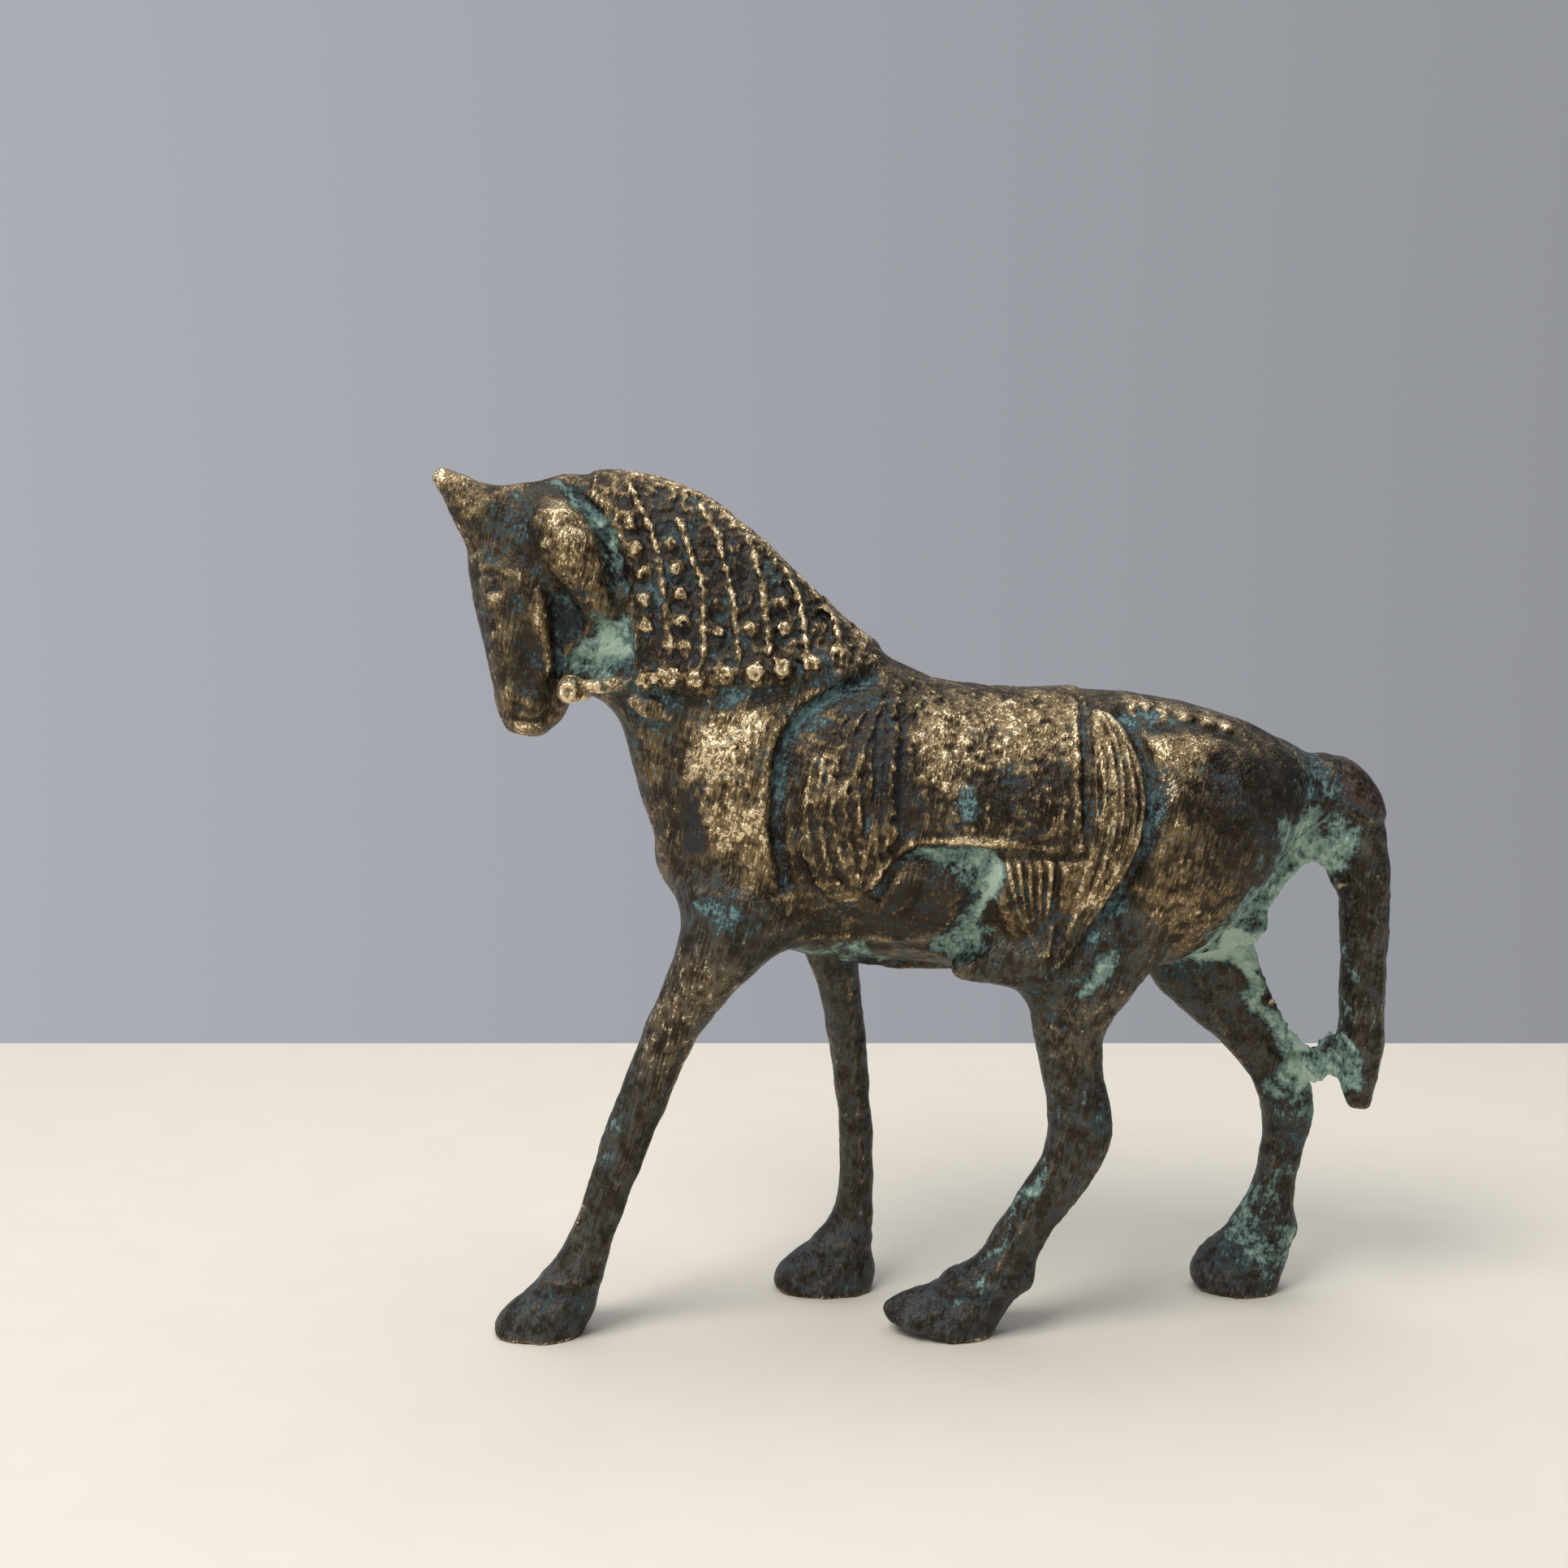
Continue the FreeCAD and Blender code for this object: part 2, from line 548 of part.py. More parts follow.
def build_saddlery(torso, neck_loft, seat_prism):
    """Reliefs on the horse's sides. Each outline is cut back from those before it."""
    reliefs = [
        ("front_flap", FRONT_FLAP, True, "flap_height"),
        ("rear_flap", REAR_FLAP, True, "flap_height"),
        ("collar", band(COLLAR, COLLAR_WIDTH), False, "collar_height"),
        ("girth_pad", GIRTH_PAD, False, "girth_height"),
        ("crupper", band(CRUPPER, CRUPPER_WIDTH), False, "crupper_height"),
    ]
    before = [seat_prism]
    fat_torsos = {}
    for name, points, smooth, height in reliefs:
        if height not in fat_torsos:
            fat_torsos[height] = grown("torso", TORSO, height)
        whole = side_prism(name, outline(name, points, smooth))
        left = relief(f"left_{name}", cut(f"{name}_free", whole, before), fat_torsos[height], [torso, neck_loft])
        mirrored(f"right_{name}", node(f"left_{name}", left))
        before.append(whole)


def build_tail_band(torso, tail):
    """The bound top of the tail, one band all round."""
    over_tail = grown("tail", TAIL, "tail_band_height")
    band_prism = through_prism("tail_band", outline("tail_band", TAIL_BAND, smooth=False))
    node("tail_band", relief("tail_band", band_prism, over_tail, [tail, torso]))


# ---------------------------------------------------------------- casting flash left on the statue
BELLY_SEAM = [(-18.0, 60.0), (-17.4, 55.4), (-11.0, 53.6), (-3.3, 52.4), (8.8, 52.5), (12.0, 54.6), (12.0, 60.0)]
REAR_WEB = [(52.0, 76.0), (60.5, 76.0), (63.8, 69.0), (63.0, 64.0), (61.0, 67.6), (58.6, 68.6), (56.8, 67.0),
            (55.2, 65.3), (53.8, 63.3), (52.5, 61.0), (52.6, 58.4), (50.8, 56.4), (45.0, 55.4), (40.0, 55.6)]
LEG_WEB = [(46.0, 57.0), (50.8, 56.4), (50.4, 54.2), (52.4, 52.2), (53.6, 49.6), (55.0, 47.2), (56.4, 43.6),
           (58.0, 41.4), (59.6, 39.8), (57.4, 38.4), (53.6, 43.8), (51.0, 48.0), (48.0, 51.6)]
TAIL_BRIDGE = [(59.6, 39.8), (61.6, 38.6), (63.0, 40.6), (64.6, 42.0), (64.6, 35.6), (62.6, 35.2), (61.2, 34.2),
               (58.6, 36.6)]


def build_flash(torso, tail, right_hind_leg):
    """Thin webs on the mould's joint plane: under the belly, and between rump, leg and tail."""
    seam, web = SIZE["seam_thickness"], SIZE["web_thickness"]
    leg_inside = f"({SIZE['leg_spread']} - 2.9)"
    plates = [
        ("belly_seam", BELLY_SEAM, f"-{seam} / 2", f"{seam} / 2"),
        ("rear_web", REAR_WEB, f"-{web} / 2", f"{web} / 2"),
        ("leg_web", LEG_WEB, f"{leg_inside} - {web}", leg_inside),
        ("tail_bridge", TAIL_BRIDGE, "1.5", leg_inside),
    ]
    before = [torso, tail, right_hind_leg]
    for name, points, start, end in plates:
        plate = prism(name, outline(name, points, smooth=False), start, end)
        before.append(node(name, cut(name, plate, before)))


# ---------------------------------------------------------------- build, check and write
def check():
    doc.recompute()
    for feature in doc.Objects:
        if "Invalid" in feature.State or "Error" in feature.State:
            raise RuntimeError(f"{feature.Label} failed: {feature.State}")
    for feature in nodes:
        shape = feature.Shape
        if shape.isNull() or not shape.isValid() or not shape.Solids:
            raise RuntimeError(f"{feature.Label} has no valid solid")


def write():
    os.makedirs("parts", exist_ok=True)
    for feature in nodes:
        feature.Shape.exportStep(f"parts/{feature.Label}.step")
    box = FreeCAD.BoundBox()
    for feature in nodes:
        box.add(feature.Shape.optimalBoundingBox(False, False))
        print(f"{feature.Label:22s} solids {len(feature.Shape.Solids):2d} volume {feature.Shape.Volume:9.1f}")
    print(f"whole statue: {box}")


def main():
    torso, head, neck_loft, tail = build_trunk()
    build_ears(head)
    right_hind_leg = build_legs(torso)
    doc.recompute()
    cheek = build_cheeks(head, neck_loft)
    build_eyes(head)
    over_neck = build_mane(torso, head, neck_loft)
    build_rein(head, neck_loft, over_neck)
    build_cheek_straps(head, cheek)
    build_throat_tassels(torso, neck_loft)
    seat_prism = build_saddle(torso, neck_loft)
    build_saddlery(torso, neck_loft, seat_prism)
    build_tail_band(torso, tail)
    build_flash(torso, tail, right_hind_leg)
    check()
    write()


main()
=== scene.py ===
"""Looks of the cast bronze horse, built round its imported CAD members.

The CAD members are turned into one distance field, so that the casting is seamless, the relief
work is laid on that field as heights over the horse's two sides, and each member is then cut back
out of it as a closed piece of its own.
Places are shares, in percent, of a CAD node's box: along X first, then up Z. Lengths are millimetres.
"""
import bpy
import json
import math
import numpy as np
import openvdb as vdb
from functools import partial
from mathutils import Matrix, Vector

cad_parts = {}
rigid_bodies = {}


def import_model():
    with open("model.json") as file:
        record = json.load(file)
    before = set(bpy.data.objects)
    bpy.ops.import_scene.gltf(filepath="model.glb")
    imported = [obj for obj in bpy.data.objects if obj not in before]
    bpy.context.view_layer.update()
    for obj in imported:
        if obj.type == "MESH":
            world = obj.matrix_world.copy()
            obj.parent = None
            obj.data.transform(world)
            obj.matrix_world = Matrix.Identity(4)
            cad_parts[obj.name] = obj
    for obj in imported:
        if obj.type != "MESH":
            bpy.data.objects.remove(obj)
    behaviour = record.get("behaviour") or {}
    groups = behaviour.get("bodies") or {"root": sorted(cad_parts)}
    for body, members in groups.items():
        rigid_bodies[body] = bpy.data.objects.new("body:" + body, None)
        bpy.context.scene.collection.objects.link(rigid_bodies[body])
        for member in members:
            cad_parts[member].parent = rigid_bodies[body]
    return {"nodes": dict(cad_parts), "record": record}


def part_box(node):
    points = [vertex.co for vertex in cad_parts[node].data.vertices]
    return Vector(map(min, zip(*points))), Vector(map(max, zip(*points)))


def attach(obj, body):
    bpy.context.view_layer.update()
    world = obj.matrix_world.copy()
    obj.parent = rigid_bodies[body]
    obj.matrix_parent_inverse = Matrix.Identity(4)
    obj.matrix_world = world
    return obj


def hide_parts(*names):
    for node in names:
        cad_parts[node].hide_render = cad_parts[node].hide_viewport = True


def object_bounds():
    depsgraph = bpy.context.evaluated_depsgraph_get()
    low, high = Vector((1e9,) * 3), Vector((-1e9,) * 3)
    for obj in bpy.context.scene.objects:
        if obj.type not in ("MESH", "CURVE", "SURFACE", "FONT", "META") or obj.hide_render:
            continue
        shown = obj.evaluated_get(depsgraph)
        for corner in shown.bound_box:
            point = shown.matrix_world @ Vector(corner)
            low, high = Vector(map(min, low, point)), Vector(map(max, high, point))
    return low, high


for leftover in list(bpy.data.objects):
    bpy.data.objects.remove(leftover)
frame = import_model()
CAD_LOW, CAD_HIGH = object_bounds()

MM = 1000.0                            # millimetres in a metre
VOXEL = 0.34   # side of one grid cell
KNOWN = 4.4                            # how far from a surface its distance is known
BAND = math.ceil(KNOWN / VOXEL)        # the same in cells
MARGIN = 3.5                           # room left round the CAD box
ORIGIN = np.array(CAD_LOW) * MM - MARGIN
SHAPE = tuple(int(n) for n in np.ceil((np.array(CAD_HIGH - CAD_LOW) * MM + 2 * MARGIN) / VOXEL))
XS, YS, ZS = (ORIGIN[axis] + VOXEL * np.arange(SHAPE[axis], dtype=np.float32) for axis in range(3))
FLAT_X, FLAT_Z = np.meshgrid(XS, ZS, indexing="ij")

BOX = {name: tuple(np.array(corner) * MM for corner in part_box(name)) for name in frame["nodes"]}
SIDES = ("left", "right")
LEGS = [f"{side}_{end}_{part}" for side in SIDES for end in ("fore", "hind") for part in ("leg", "hoof")]
FLASH = ["belly_seam", "rear_web", "leg_web", "tail_bridge"]
PAIRS = [f"{side}_{part}" for side in SIDES for part in ("ear", "cheek")]
BODY = ["torso", "neck", "head", "tail", *LEGS, *PAIRS]
SLOT = {row["node"]: row["material_slot"] for row in frame["record"]["subparts"]}


# ---------------------------------------------------------------- fields on the grid
def blur(field, sigma):
    """Gaussian blur along every axis of the field; sigma is in millimetres."""
    sigma = sigma / VOXEL
    radius = max(1, math.ceil(2.4 * sigma))
    weights = np.exp(-0.5 * (np.arange(-radius, radius + 1) / sigma) ** 2)
    weights = (weights / weights.sum()).astype(np.float32)
    for axis in range(field.ndim):
        pads = [(radius, radius) if other == axis else (0, 0) for other in range(field.ndim)]
        padded = np.moveaxis(np.pad(field, pads, mode="edge"), axis, 0)
        count = field.shape[axis]
        total = padded[:count] * weights[0]
        for shift in range(1, 2 * radius + 1):
            total += padded[shift:shift + count] * weights[shift]
        field = np.moveaxis(total, 0, axis)
    return np.ascontiguousarray(field)


def noise(seed, size, shape=SHAPE):
    """Smooth seeded noise of unit spread whose grains are about that many millimetres across."""
    rough = np.random.default_rng(seed).standard_normal(shape, dtype=np.float32)
    soft = blur(rough, size / 2.2)
    return soft / soft.std()


def ease(value):
    """Smooth step from 0 to 1 as the value goes from 0 to 1."""
    value = np.clip(value, 0, 1)
    return value * value * (3 - 2 * value)


def level_set(points, faces, kind, band=BAND):
    """Dense distance field, in cells, round a closed mesh, and the window of the grid that it fills."""
    low = np.maximum(np.floor(points.min(0)).astype(int) - band - 1, 0)
    high = np.minimum(np.ceil(points.max(0)).astype(int) + band + 2, SHAPE)
    grid = vdb.FloatGrid.createLevelSetFromPolygons(points, halfWidth=float(band), **{kind: faces})
    values = np.empty(tuple(high - low), np.float32)
    grid.copyToArray(values, ijk=tuple(int(n) for n in low))
    return tuple(slice(a, b) for a, b in zip(low, high)), values


def node_field(name):
    """Distance field of one CAD node, in millimetres, and its window of the grid."""
    mesh = frame["nodes"][name].data
    points = np.empty(len(mesh.vertices) * 3, np.float32)
    mesh.vertices.foreach_get("co", points)
    mesh.calc_loop_triangles()
    corners = np.empty(len(mesh.loop_triangles) * 3, np.int32)
    mesh.loop_triangles.foreach_get("vertices", corners)
    cells = (points.reshape(-1, 3) * MM - ORIGIN) / VOXEL
    triangles = corners.reshape(-1, 3).astype(np.uint32)
    window, values = level_set(cells.astype(np.float32), triangles, "triangles")
    return window, values * VOXEL


def nearest_nodes(fields):
    """For each cell: distance to the nearest node, to the second nearest, and which node is nearest."""
    far = BAND * VOXEL
    first = np.full(SHAPE, far, np.float32)
    second = np.full(SHAPE, far, np.float32)
    which = np.full(SHAPE, len(fields), np.uint8)
    for number, (window, values) in enumerate(fields.values()):
        a, b = first[window], second[window]
        closer = values < a
        b[...] = np.where(closer, a, np.minimum(b, values))
        a[...] = np.minimum(a, values)
        which[window][closer] = number
    return first, second, which


def smooth_union(first, second, reach):
    """The two nearest solids as one, with a fillet of that reach where they meet."""
    close = np.maximum(1 - np.abs(second - first) / reach, 0)
    return first - close * close * reach / 4


def merged(distance, gap):
    """The distance field again after closing cracks: swollen by the gap, measured anew and shrunk."""
    grid = vdb.FloatGrid(float(BAND))
    grid.copyFromArray((distance - gap) / VOXEL)
    points, quads = grid.convertToQuads(0.0)
    window, values = level_set(np.asarray(points), np.asarray(quads), "quads")
    whole = np.full(SHAPE, BAND * VOXEL, np.float32)
    whole[window] = values * VOXEL
    return whole + gap


def bump_at(centre, reach):
    """1 at the centre, falling off to 0 over the reach along each axis."""
    falls = [np.exp(-((line - c) / r) ** 2) for line, c, r in zip((XS, YS, ZS), centre, reach)]
    return falls[0][:, None, None] * falls[1][None, :, None] * falls[2][None, None, :]


def inside_box(name, u, v, w):
    """A place in a node's box, as percent shares along X, Y and Z."""
    low, high = BOX[name]
    return low + (high - low) * np.array((u, v, w)) / 100


# ---------------------------------------------------------------- maps over the XZ plane
def at(name, *places):
    """Places in a node's box seen from the side, as percent shares along X and up Z."""
    low, high = BOX[name]
    return [(low[0] + (high[0] - low[0]) * u / 100, low[2] + (high[2] - low[2]) * w / 100) for u, w in places]


trunk = partial(at, "torso")
head = partial(at, "head")
ear = partial(at, "left_ear")
mane = partial(at, "mane")
tail = partial(at, "tail")
web = partial(at, "rear_web")


def curved(points, closed=False, steps=5):
    """The same line with Catmull-Rom points in between."""
    count = len(points)
    line = []
    for index in range(count if closed else count - 1):
        picks = (index - 1, index, index + 1, index + 2)
        a, b, c, d = (np.array(points[p % count if closed else min(max(p, 0), count - 1)]) for p in picks)
        for step in range(steps):
            t = step / steps
            line.append(0.5 * (2 * b + (c - a) * t + (2 * a - 5 * b + 4 * c - d) * t * t
                               + (3 * b - a - 3 * c + d) * t ** 3))
    if not closed:
        line.append(np.array(points[-1]))
    return line


def line_window(line, reach):
    """The part of the flat map within that reach of the line."""
    low = np.min(line, axis=0) - reach
    high = np.max(line, axis=0) + reach
    i0, k0 = (max(0, int((low[n] - ORIGIN[2 * n]) / VOXEL)) for n in range(2))
    i1, k1 = (max(0, int((high[n] - ORIGIN[2 * n]) / VOXEL) + 2) for n in range(2))
    return slice(i0, i1), slice(k0, k1)


def measure_line(line, window):
    """Distance to the line, and how far along it the nearest point is, from 0 to 1."""
    x, z = FLAT_X[window], FLAT_Z[window]
    best = np.full(x.shape, 1e3, np.float32)
    along = np.zeros(x.shape, np.float32)
    runs = list(zip(line, line[1:]))
    for number, (a, b) in enumerate(runs):
        run = b - a
        share = ((x - a[0]) * run[0] + (z - a[1]) * run[1]) / max(float(run @ run), 1e-9)
        share = np.clip(share, 0, 1)
        gap = np.hypot(x - a[0] - share * run[0], z - a[1] - share * run[1])
        nearer = gap < best
        best[nearer] = gap[nearer]
        along[nearer] = (number + share[nearer]) / len(runs)
    return best, along


def inside(outline, window):
    """Distance inside a closed outline; negative outside it."""
    x, z = FLAT_X[window], FLAT_Z[window]
    ring = outline + outline[:1]
    gap, _ = measure_line(ring, window)
    odd = np.zeros(x.shape, bool)
    for a, b in zip(ring, ring[1:]):
        if a[1] != b[1]:
            crosses = (z > min(a[1], b[1])) & (z <= max(a[1], b[1]))
            odd ^= crosses & (x < a[0] + (b[0] - a[0]) * (z - a[1]) / (b[1] - a[1]))
    return np.where(odd, gap, -gap)


def wander(seed, spread):
    """Offsets in cells, over the flat map, that give a stain a ragged edge."""
    shape = FLAT_X.shape
    return (spread * noise(seed, 3.0, shape) + 0.4 * spread * noise(seed + 1, 1.2, shape)) / VOXEL


COLOURS = ("gold", "teal", "pale", "dark", "red")
PLAIN_GRAIN = 0.05     # height of the cast skin's grain where no relief roughens it


class Side:
    """Heights and colour masks over the XZ plane, for one side of the horse."""

    def __init__(self):
        for layer in ("height", *COLOURS):
            setattr(self, layer, np.zeros(FLAT_X.shape, np.float32))
        self.grain = np.full(FLAT_X.shape, PLAIN_GRAIN, np.float32)

    def ridge(self, points, width, height, taper=0.25, layer="height"):
        """A raised line, or a groove if the height is negative, that dies away at its ends."""
        line = curved(points)
        window = line_window(line, 1.6 * width)
        gap, along = measure_line(line, window)
        ends = ease(np.minimum(along, 1 - along) / taper) if taper else 1.0
        getattr(self, layer)[window] += height * ends * np.exp(-(gap / (0.5 * width)) ** 2)

    def pad(self, points, height, edge, layer="height"):
        """A raised area with rounded edges inside an outline."""
        outline = curved(points, closed=True)
        window = line_window(outline, 1.5 * edge)
        getattr(self, layer)[window] += height * ease(inside(outline, window) / edge + 0.5)

    def mask(self, layer, points, value=1.0, edge=1.5):
        """Stains, worn areas and painted highlights: a coloured area inside an outline."""
        self.pad(points, value, edge, layer)

    def dot(self, place, radius, height, layer="height"):
        """A round bump, or a pit if the height is negative."""
        window = line_window([np.array(place), np.array(place)], 2 * radius)
        gap = np.hypot(FLAT_X[window] - place[0], FLAT_Z[window] - place[1])
        getattr(self, layer)[window] += height * np.exp(-(gap / radius) ** 2)

    def cluster(self, place, radius, height, rng):
        """A lump made of a few grains round a small pit."""
        self.dot(place, radius, 0.6 * height)
        start = 6.3 * rng.random()
        for turn in range(5):
            angle = start + 1.26 * turn + 0.4 * rng.random()
            reach = 0.62 * radius
            grain = (place[0] + reach * math.cos(angle), place[1] + reach * math.sin(angle))
            self.dot(grain, 0.36 * radius, height * (0.4 + 0.6 * rng.random()))
        self.dot((place[0] + 0.2, place[1] - 0.15), 0.3 * radius, -0.6 * height)


# ---------------------------------------------------------------- relief of the head
def sculpt_head(side):
    side.ridge(head((8, 67), (26, 65), (41, 63), (53, 58), (57, 53)), 2.0, 0.5)
    side.ridge(head((12, 60), (26, 58), (38, 54), (47, 47)), 1.8, -0.4)
    side.pad(head((15, 62), (28, 62), (33, 57), (24, 53), (14, 56)), 0.45, 1.4)
    side.ridge(head((17, 57), (30, 58)), 0.8, -0.45)
    side.ridge(head((56, 57), (56, 47), (60, 37), (63, 24)), 2.0, 0.55, taper=0.1)
    side.ridge(head((66, 58), (65, 44), (66.5, 34), (66, 22)), 1.5, -1.4, taper=0.12)
    side.ridge(head((22, 50), (30, 38), (36, 27)), 3.0, 0.4)
    side.ridge(head((42, 48), (46, 36), (49, 27)), 2.2, -0.35)
    side.ridge(head((25, 22), (31, 17), (43, 15), (56, 11)), 1.6, 0.4)
    side.ridge(head((31, 10), (40, 7), (54, 8), (64, 14)), 1.0, -0.45)
    side.ridge(head((34, 6), (46, 4), (58, 7)), 1.6, 0.35)
    side.dot(head((37, 12))[0], 0.75, -0.6)
    side.dot(head((50, 11))[0], 0.6, -0.4)
    side.dot(head((44, 21))[0], 1.2, -0.3)
    cheek = head((49, 84), (64, 90), (80, 88), (94, 79), (103, 64), (105, 53), (101, 47), (88, 49), (75, 58),
                 (56, 69))
    side.pad(cheek, 1.2, 3.2)
    side.dot(head((76, 76))[0], 4.0, 1.0)
    side.pad(cheek, 0.05, 3.0, "grain")
    side.ridge(head((60, 96), (78, 94), (93, 86), (104, 76), (110, 64), (111, 54)), 2.6, -1.4)
    side.pad(head((70, 56), (78, 54), (83, 48), (86, 44), (78, 38), (69, 38), (67, 48)), -1.5, 1.8)
    hollow = head((74, 29), (84, 40), (103, 44), (114, 48), (120, 42), (121, 32), (108, 27), (88, 26))
    side.pad(hollow, -1.0, 2.0)
    knob = head((75, 18.5))[0]
    side.dot(knob, 1.9, 1.5)
    side.dot(knob, 2.0, 0.75, "gold")
    for turn in range(9):
        bead = (knob[0] + 1.15 * math.cos(0.7 * turn), knob[1] + 1.15 * math.sin(0.7 * turn))
        side.dot(bead, 0.42, 0.45 + 0.12 * (turn % 3))
    rod = head((80, 20), (92, 21), (104, 22), (116, 25))
    side.ridge(rod, 1.5, 0.45)
    side.ridge(rod, 1.8, 0.25, layer="gold")
    joint = head((93, 21))[0]
    side.dot(joint, 1.3, 0.35)
    side.dot(joint, 1.3, 0.4, "gold")
    side.dot(knob, 2.2, 0.12, "grain")
    # Painted highlight: gold on the top of the cheek dome, where the light falls, and fainter gold lower on
    # it.
    side.mask("gold", head((62, 86), (78, 87), (88, 78), (84, 70), (74, 68), (64, 74)), 0.5, 5.0)
    side.mask("gold", head((82, 72), (96, 64), (98, 52), (90, 54), (80, 62)), 0.22, 5.0)
    # The first, second and last of these gold dots, round the eye, are painted glints; the others mark the
    # strap's end and the lips.
    for place, radius, value in (((16, 61), 1.0, 0.5), ((23, 54), 1.1, 0.5), ((56, 49), 1.3, 0.5),
                                 ((31, 17), 1.8, 0.4), ((42, 8), 2.0, 0.35), ((30, 63), 1.2, 0.25)):
        side.dot(head(place)[0], radius, value, "gold")
    crescent = head((60, 96), (70, 97), (82, 94), (97, 87), (108, 76), (111, 66), (106, 64), (98, 77),
                    (86, 87), (72, 92))
    side.mask("pale", crescent, 0.85, 2.4)
    side.mask("teal", crescent, 0.7, 4.0)
    throat = head((78, 31), (88, 41), (103, 44), (114, 49), (120, 42), (120, 31), (106, 26), (88, 26))
    side.mask("pale", throat, 0.85, 4.0)
    side.dot(head((104, 34))[0], 2.6, 0.3, "pale")
    damp = head((66, 33), (82, 41), (100, 45), (126, 50), (134, 36), (118, 26), (88, 25), (72, 29))
    side.mask("teal", damp, 0.65, 3.0)
    side.ridge(head((10, 72), (16, 50), (22, 36)), 2.4, 0.6, layer="teal")
    side.mask("dark", head((68, 57), (80, 54), (88, 46), (78, 36), (66, 36)), 1.0, 2.0)
    side.mask("dark", head((24, 36), (46, 46), (60, 34), (60, 10), (40, 8), (28, 22)), 0.5, 4.0)
    side.mask("dark", head((28, 90), (54, 94), (62, 74), (46, 64), (30, 74)), 0.4, 5.0)
    side.mask("teal", head((28, 92), (50, 96), (58, 80), (40, 70), (28, 78)), 0.35, 5.0)


def sculpt_ear(side):
    side.ridge(ear((10, 92), (40, 50), (78, 8)), 1.6, 0.35)
    side.ridge(ear((2, 70), (30, 26), (55, 0)), 1.2, -0.35)
    side.mask("gold", ear((0, 100), (20, 100), (26, 82), (12, 66), (0, 74)), 0.7, 2.0)
    side.mask("dark", ear((36, 70), (70, 40), (60, 10), (34, 30)), 0.4, 2.0)


# ---------------------------------------------------------------- relief of the mane and rein
CORDS = [
    [(13, 94), (19, 78), (24, 61), (26, 42), (28, 15)],
    [(30, 78), (36, 57), (39, 42), (39, 15)],
    [(37, 84), (43, 71), (47, 55), (50, 36), (51, 16)],
    [(54, 70), (58, 54), (60, 37), (62, 17)],
    [(67, 55), (71, 43), (73, 32), (74, 21)],
    [(80, 39), (84, 32), (85, 24)],
]


def island_centres(name):
    """Middles of the separate solids in one node, seen from the side."""
    mesh = frame["nodes"][name].data
    points = np.array([v.co for v in mesh.vertices]) * MM
    parent = np.arange(len(points))

    def root(n):
        while parent[n] != n:
            parent[n] = parent[parent[n]]
            n = parent[n]
        return n

    same = {}
    for number, key in enumerate(map(tuple, np.round(points, 3))):
        parent[root(number)] = root(same.setdefault(key, number))
    for edge in mesh.edges:
        a, b = (root(v) for v in edge.vertices)
        parent[a] = b
    roots = np.array([root(n) for n in range(len(points))])
    found = []
    for group in np.unique(roots):
        cloud = points[roots == group]
        middle = (cloud.min(0) + cloud.max(0)) / 2
        found.append((float(middle[0]), float(middle[2])))
    return found


def sculpt_mane(side, rng):
    body = mane((0, 96), (14, 99), (30, 94), (50, 80), (75, 53), (99, 20), (92, 14), (66, 10), (36, 4),
                (14, 4), (12, 40), (8, 60), (0, 84))
    side.pad(body, 0.13, 2.0, "grain")
    for cord in CORDS:
        side.ridge(mane(*cord), 1.1, 0.28, taper=0.08)
        side.ridge(mane(*cord), 1.2, 0.85, taper=0.05, layer="gold")
        beads = curved(mane(*cord), steps=7)
        for bead in beads:
            place = bead + rng.normal(0, 0.18, 2)
            side.dot(place, 0.42 + 0.2 * rng.random(), 0.22 + 0.35 * rng.random())
    for place in island_centres("left_mane_knots"):
        side.cluster(place, 1.0 + 0.35 * rng.random(), 0.35 + 0.3 * rng.random(), rng)
        side.dot(place, 1.2, 0.4 + 0.4 * rng.random(), "gold")
        side.dot((place[0], place[1] - 1.3), 0.9, -0.3)
    for place in island_centres("left_rein"):
        side.cluster(place, 1.45, 0.5, rng)
        side.dot(place, 1.6, 0.1, "grain")
        side.dot(place, 1.8, 0.6, "gold")
    crest = mane((10, 98), (26, 94), (36, 89), (44, 83), (52, 75), (63, 64), (71, 55), (81, 43), (91, 31),
                 (98, 22))
    side.ridge(crest, 1.6, 0.35, taper=0.05)
    side.ridge(crest, 2.6, 0.8, taper=0.05, layer="gold")
    side.ridge(mane((39, -2), (51, 2), (64, 5), (77, 9), (91, 14)), 3.4, 0.5, layer="teal")
    for teal, radius in (((42, 22), 1.6), ((41, 15), 1.4), ((66, 32), 1.6), ((20, 46), 2.4), ((45, 60), 1.8)):
        side.dot(mane(teal)[0], radius, 0.6, "teal")
    side.mask("dark", mane((14, 92), (46, 78), (70, 52), (80, 30), (50, 14), (22, 12), (14, 50)), 0.55, 5.0)


